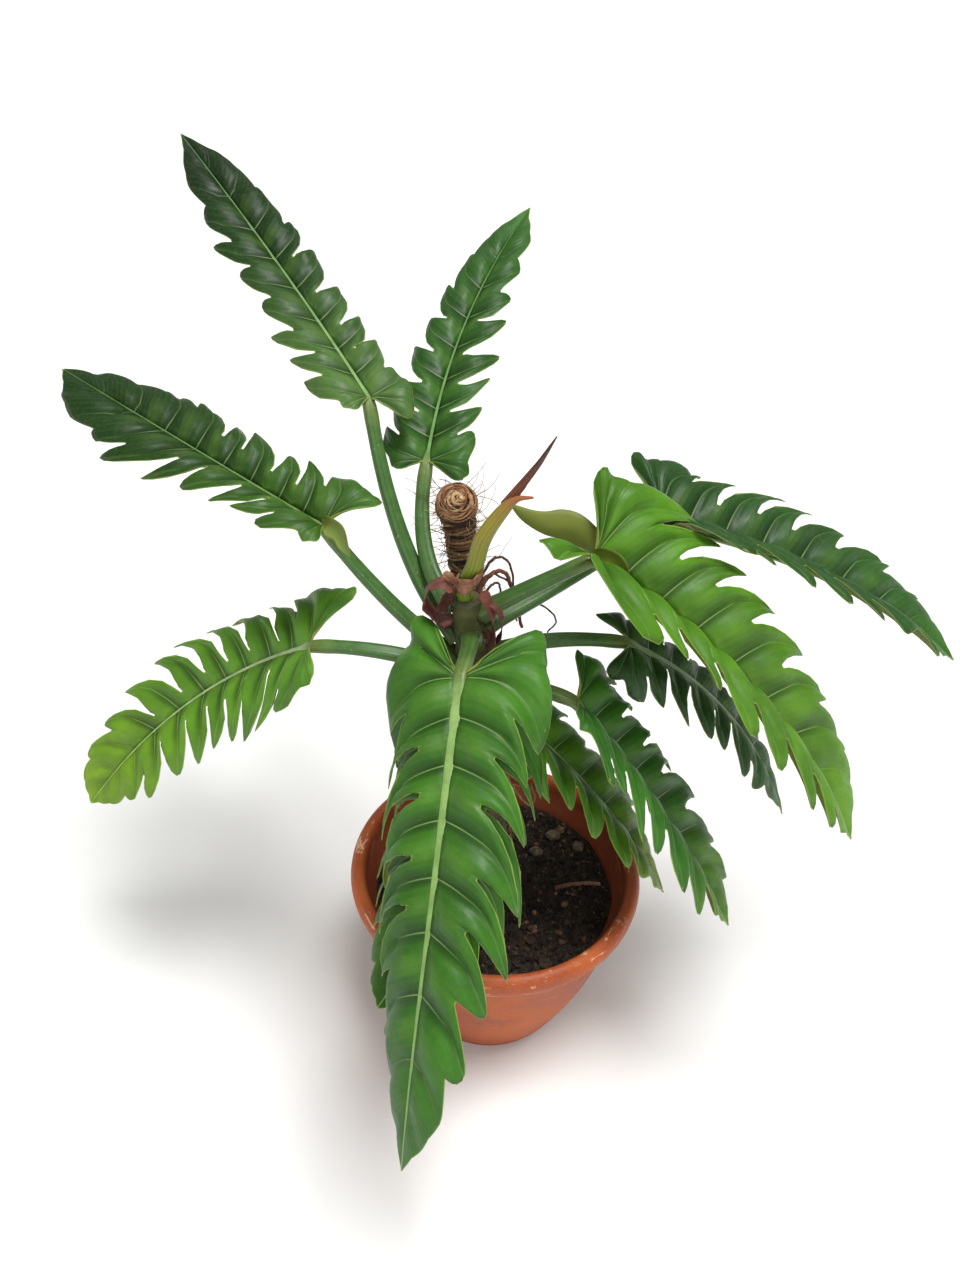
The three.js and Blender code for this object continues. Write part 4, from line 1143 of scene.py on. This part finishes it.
def add_head_cords(builder, rnd):
    """Cords round a ball whose axis leans to the front, closing on a cream roll."""
    ball = axis_at(POLE, HEAD["height"])
    toward = unit(np.array(HEAD["axis"]))
    side = unit(np.cross(toward, (0, 0, 1)))
    other = np.cross(side, toward)

    def on_head(angle, polar, size):
        ring = side * math.cos(angle) + other * math.sin(angle)
        return ball + size * (toward * math.cos(polar) + ring * math.sin(polar))

    for strand in range(HEAD["cords"]):
        share = (strand / (HEAD["cords"] - 1)) ** 0.85
        polar = lerp(HEAD["polar"], share) + rnd.uniform(-0.08, 0.08)
        tilt = rnd.uniform(0.03, 0.32)
        lean = rnd.uniform(0, 2 * math.pi)
        turn = rnd.uniform(0, 2 * math.pi)
        sweep = rnd.uniform(1.4, 4.4)
        over = rnd.uniform(0.0, 1.5)
        points = []
        for u in np.linspace(0, 1, HEAD["cord_points"]):
            angle = turn + sweep * u
            size = HEAD["radius"] + over * math.sin(math.pi * u) + 0.4 * math.sin(3 * angle + strand)
            points.append(on_head(angle, polar + tilt * math.sin(angle - lean), size))
        colour = linear(rnd.choice(HEAD_SHADES)) * rnd.uniform(0.7, 1.2)
        add_tube(builder, points, rnd.uniform(0.5, 1.15), 5, colour)
    points = []
    for u in np.linspace(0, 1, HEAD["roll_points"]):
        angle = u * 3.1 * math.pi
        polar = 0.5 * (1 - u) + 0.12 + 0.1 * math.sin(angle * 0.7 + 1)
        points.append(on_head(angle, polar, HEAD["roll_radius"] + 0.9 * u + 0.5 * math.sin(angle * 1.3)))
    radii = np.linspace(0.9, 2.2, HEAD["roll_points"])
    add_tube(builder, points, radii, 6, shades(("b98f60", "dcbc88"), len(radii)))


def add_stray_fibres(builder, rnd):
    steps = FIBRES["steps"]
    for _ in range(FIBRES["count"]):
        if rnd.random() < FIBRES["share_high"]:
            z = rnd.uniform(FIBRES["middle"], WRAP["head_top"] - 2)
        else:
            z = rnd.uniform(FIBRES["low"], FIBRES["middle"])
        turn = rnd.uniform(0, 2 * math.pi)
        step = np.array([math.cos(turn), math.sin(turn), rnd.uniform(-0.5, 0.7)])
        points = [around_pole(z, turn, wrap_radius(z))]
        length = rnd.uniform(8, 46) * rnd.random() + 6 if z > 530 else rnd.uniform(4, 16)
        bend = np.array([rnd.uniform(-1, 1) for _ in range(3)])
        for _ in range(steps):
            step = unit(step + 0.28 * bend + 0.25 * np.array([rnd.uniform(-1, 1) for _ in range(3)]))
            points.append(points[-1] + step * length / steps)
        colour = linear(rnd.choice(COIR_SHADES + HEAD_SHADES))
        add_tube(builder, points, np.linspace(*FIBRES["radius"], steps + 1), 3, colour)


def build_wrap():
    builder = Builder()
    heights = np.linspace(WRAP["bottom"], WRAP["head_top"] - 3, 60)
    radii = np.array([wrap_radius(z) for z in heights]) - 0.6
    radii[-1] = POLE["radius"] + 0.6
    add_lathe(builder, POLE, heights, radii, 24, tint=linear("3a2518"))
    rnd = random.Random(5)
    for add_part in (add_column_cords, add_head_cords, add_stray_fibres):
        add_part(builder, rnd)
    builder.build("pole_wrap", [fibre_look("coir")])


# The new leaf, dried sheaths and roots

# A ribbon has its route, points along it, the direction of its width, its width, colours and a seed
RIBBONS = {
    "dry_sheath_loop": [
        ([(-50, -34, 520), (-62, -32, 524), (-72, -33, 537), (-69, -35, 552), (-58, -37, 559),
          (-50, -35, 552)], 30, (0.1, 1.0, 0.25), 13, ("6a3024", "865040"), 4),
        ([(-49, -32, 552), (-56, -33, 541), (-60, -34, 528), (-52, -36, 516)], 18, (0.7, 0.5, 0.2), 12,
         ("5e2418", "431a12"), 6),
    ],
    "dry_sheath_strip": [
        ([(-27, -34, 552), (-22, -37, 545), (-17, -38, 530), (-16, -38, 508), (-17, -37, 488),
          (-15, -36, 470)], 34, "twisted", 9, ("84402c", "52221a"), 12),
        ([(-23, -35, 544), (-12, -37, 536), (-9, -37, 520), (-13, -36, 503)], 24, "twisted", 5,
         ("74382a", "481f18"), 15),
    ],
    "dry_sheath_shred": [
        ([(-22, -30, 514), (-17, -33, 503), (-18, -35, 487), (-14, -36, 478)], 20, (0.9, -0.3, 0.1), 7,
         ("5e2c20", "804634"), 21),
    ],
    "dry_sheath_band": [
        ([(-47, -31, 556), (-53, -35, 563), (-57, -36, 569)], 10, (0.6, 0, 0.8), 8, ("935640", "b07c5c"), 9),
    ],
}
TWIST_STEP = 3.4 / 33


def build_roll(node, route, radii, count, profile, look):
    """A tapered roll along a route; profile gives its section over the turn and the share of its length."""
    points = curve_points(route, count)
    radii = np.interp(np.linspace(0, len(radii) - 1, count), np.arange(len(radii)), radii)[:, None]
    _, up, side = transport(points, (0, -1, 0))
    share = np.linspace(0, 1, count)[:, None]
    section = profile(share)
    turn = turns(section.shape[1])
    builder = Builder()
    rings = rings_round(points, up, side, radii * section, len(turn))
    builder.add_rings(rings, run=share, around=turn)
    builder.build(node, [look])


def creased(share):
    turn = turns(20)
    return (1 - 0.12 * np.cos(2 * turn)) * (1 - 0.16 * bell(turn, 1.2, 0.3)) + 0 * share


def lapped(share):
    return 1 + 0.14 * bell(np.mod(turns(16) - 5 * share, 2 * np.pi), 0, 0.5)


def build_new_leaf():
    foot = [axis_at(STEM, STEM["top"] + above) for above in (0.4, 12)]
    build_roll("new_leaf_sheath", foot + SHEATH["route"], SHEATH["radius"], 60, creased,
               sheath_look("fresh_sheath", "668a18", "8c8622", "a3583a", 0.42))
    build_roll("new_leaf_roll", ROLL["route"], ROLL["radius"], 46, lapped,
               sheath_look("new_leaf_purple", "6a2e20", "3a1820", "1c0c14", 0.4))


def add_ribbon(builder, points, across, width, colours, seed, ragged=0.18, cup=0.2):
    """A torn ribbon: cupped across its width, with ragged edges; across gives its width's direction."""
    n = len(points)
    along = unit(np.gradient(points, axis=0))
    across = square_to(along, np.array(across, float))
    normal = np.cross(along, across)
    u = np.linspace(-1, 1, 7)
    place = np.arange(n)[:, None]
    low, high = (1 + ragged * np.array([[wobble(seed, i + first)] for i in range(n)]) for first in (0, 300))
    taper = np.clip(np.minimum(place, n - 1 - place) / 3 + 0.35, 0, 1)
    offset = 0.5 * width * taper * u * np.where(u < 0, low, high)
    rise = (cup * (u ** 2 - 0.3) + 0.125 * np.sin(place * 0.7 + seed) * u) * width * 0.5
    face = points[:, None] + across[:, None] * offset[..., None] + normal[:, None] * rise[..., None]
    streak = np.array([1 + 0.22 * wobble(seed + 5, k) for k in range(len(u))])
    streak = np.concatenate([streak, streak[::-1]])[:, None]
    add_strip(builder, face, normal, 0.7, tint=shades(colours, n)[:, None] * streak)


def band_ring(count):
    """Points of the band that goes round the crown."""
    turn = np.radians(np.linspace(140, 385, count))
    lift = 4.5 * np.sin(turn * 1.3) - 1.5
    return np.array((-38.5, -22.5, 558.0)) + np.stack([10.6 * np.cos(turn), 10.6 * np.sin(turn), lift], -1)


def build_dry_sheaths():
    for node, ribbons in RIBBONS.items():
        builder = Builder()
        if node == "dry_sheath_band":
            add_ribbon(builder, band_ring(26), (0.25, -0.1, 1.0), 12, ("b07e60", "a0664c"), 3, 0.3, -0.12)
        for route, count, across, width, colours, seed in ribbons:
            if across == "twisted":
                turn = TWIST_STEP * np.arange(count)
                across = np.stack([np.cos(turn), np.sin(turn) * 0.8, 0 * turn], -1)
            add_ribbon(builder, curve_points(route, count), across, width, colours, seed)
        builder.build(node, [DRY_SHEATH])


def build_roots():
    count = 70
    place = np.arange(count)
    for number, (name, (radius, leave, route, colours)) in enumerate(ROOTS.items()):
        height, azimuth = leave
        share = (height - STEM["bottom"]) / (STEM["top"] - STEM["bottom"])
        skin = lerp(STEM["radius"], share) - 0.6
        starts = [axis_at(STEM, height) + heading(azimuth, 0) * far for far in (skin, skin + 5)]
        points = curve_points(starts + route, count)
        points += 0.25 * np.sin(place[:, None] * np.array([0.9, 1.3, 1.1]) + number)
        radii = radius * np.linspace(1.15, 0.75, count) * (1 + 0.08 * np.sin(place * 1.9))
        builder = Builder()
        add_tube(builder, points, radii, 8, shades(colours, count))
        builder.build(name, [ROOT_SKIN])


def build_pebbles():
    polar = np.linspace(0.02, math.pi - 0.02, 14)[:, None]
    ball = level_ring(np.sin(polar), np.cos(polar), turns(20))
    for name, (middle, size) in PEBBLES.items():
        rough = 1 + 0.09 * np.sin(ball[..., 0] * 4.1 + size[0]) * np.sin(ball[..., 1] * 3.3 + middle[0])
        points = np.array(middle) + ball * rough[..., None] * np.array(size) * 0.96
        builder = Builder()
        builder.add(points, grid_faces(*ball.shape[:2], closed=True, flip=True))
        builder.build(name, [STONE])


def build_twig():
    count = 40
    points = curve_points(TWIG_ROUTE, count) + np.array((0, 0, 0.9))
    radii = np.linspace(2.5, 1.9, count) * (1 + 0.04 * np.sin(np.arange(count) * 1.1))
    builder = Builder()
    add_tube(builder, points, radii, 12, shades(("7a4c3c", "b08674"), count))
    builder.build("twig", [fibre_look("twig_wood", 0.8)])


# Floor, light and camera

def build_stage():
    half, step = 240.0, 20.0
    n = int(2 * half / step) + 1
    line = np.linspace(-half, half, n)
    x, y = np.meshgrid(line, line, indexing="ij")
    points = np.stack([x, y, 0 * x], -1).reshape(-1, 3)
    mesh = bpy.data.meshes.new("floor")
    mesh.from_pydata(points.tolist(), [], grid_faces(n, n, flip=True).tolist())
    look = Look("pale_floor")
    look.colour = look.mix(look.range(look.noise(3, 2, 0.55), 0.3, 0.7), "f0f0ee", "f4f4f2")
    mesh.materials.append(look.finish(0.8))
    floor = bpy.data.objects.new("floor", mesh)
    bpy.context.scene.collection.objects.link(floor)


def put(thing, columns, place=(0, 0, 0)):
    """Turns an object so that its axes are the columns of a matrix, and moves it to its place in metres."""
    bpy.context.scene.collection.objects.link(thing)
    rows = [(*row, at) for row, at in zip(np.stack(columns, 1), place)]
    thing.matrix_world = Matrix(rows + [(0, 0, 0, 1)])


def soft_sun(name, toward, power, width):
    """A broad soft light from a direction, the same all over the floor."""
    data = bpy.data.lights.new(name, "SUN")
    data.energy = power
    data.angle = math.radians(width)
    back = unit(np.array(toward, float))
    side = unit(np.cross((0, 0, 1), back))
    put(bpy.data.objects.new(name, data), [side, np.cross(back, side), back])


def build_camera():
    yaw, pitch, roll = (math.radians(CAMERA[key]) for key in ("yaw", "pitch", "roll"))
    ahead = np.array([math.sin(yaw) * math.cos(pitch), math.cos(yaw) * math.cos(pitch), -math.sin(pitch)])
    right = unit(np.cross(ahead, (0, 0, 1)))
    up = np.cross(right, ahead)
    rolled_right = right * math.cos(roll) + up * math.sin(roll)
    rolled_up = up * math.cos(roll) - right * math.sin(roll)
    data = bpy.data.cameras.new("camera")
    data.sensor_fit = "HORIZONTAL"
    data.sensor_width = CAMERA["sensor"]
    data.lens = CAMERA["focal_px"] / CAMERA["width_px"] * CAMERA["sensor"]
    camera = bpy.data.objects.new("camera", data)
    put(camera, [rolled_right, rolled_up, -ahead], np.array(CAMERA["place"]) * MM)
    bpy.context.scene.camera = camera


for leaf_name, leaf_spec in LEAVES.items():
    build_leaf(leaf_name, leaf_spec)
build_pot()
build_soil()
build_stem()
build_core()
build_wrap()
build_new_leaf()
build_dry_sheaths()
build_roots()
build_pebbles()
build_twig()
build_stage()
soft_sun("key", (0.2, -0.06, 1.0), 3.1, 26)
soft_sun("front", (0.2, -1.0, 0.7), 0.7, 60)
build_camera()

world = bpy.data.worlds.new("studio")
world.use_nodes = True
background = world.node_tree.nodes["Background"]
background.inputs["Color"].default_value = (1.0, 1.0, 1.0, 1)
background.inputs["Strength"].default_value = 0.3
bpy.context.scene.world = world
bpy.context.scene.view_settings.view_transform = "Standard"
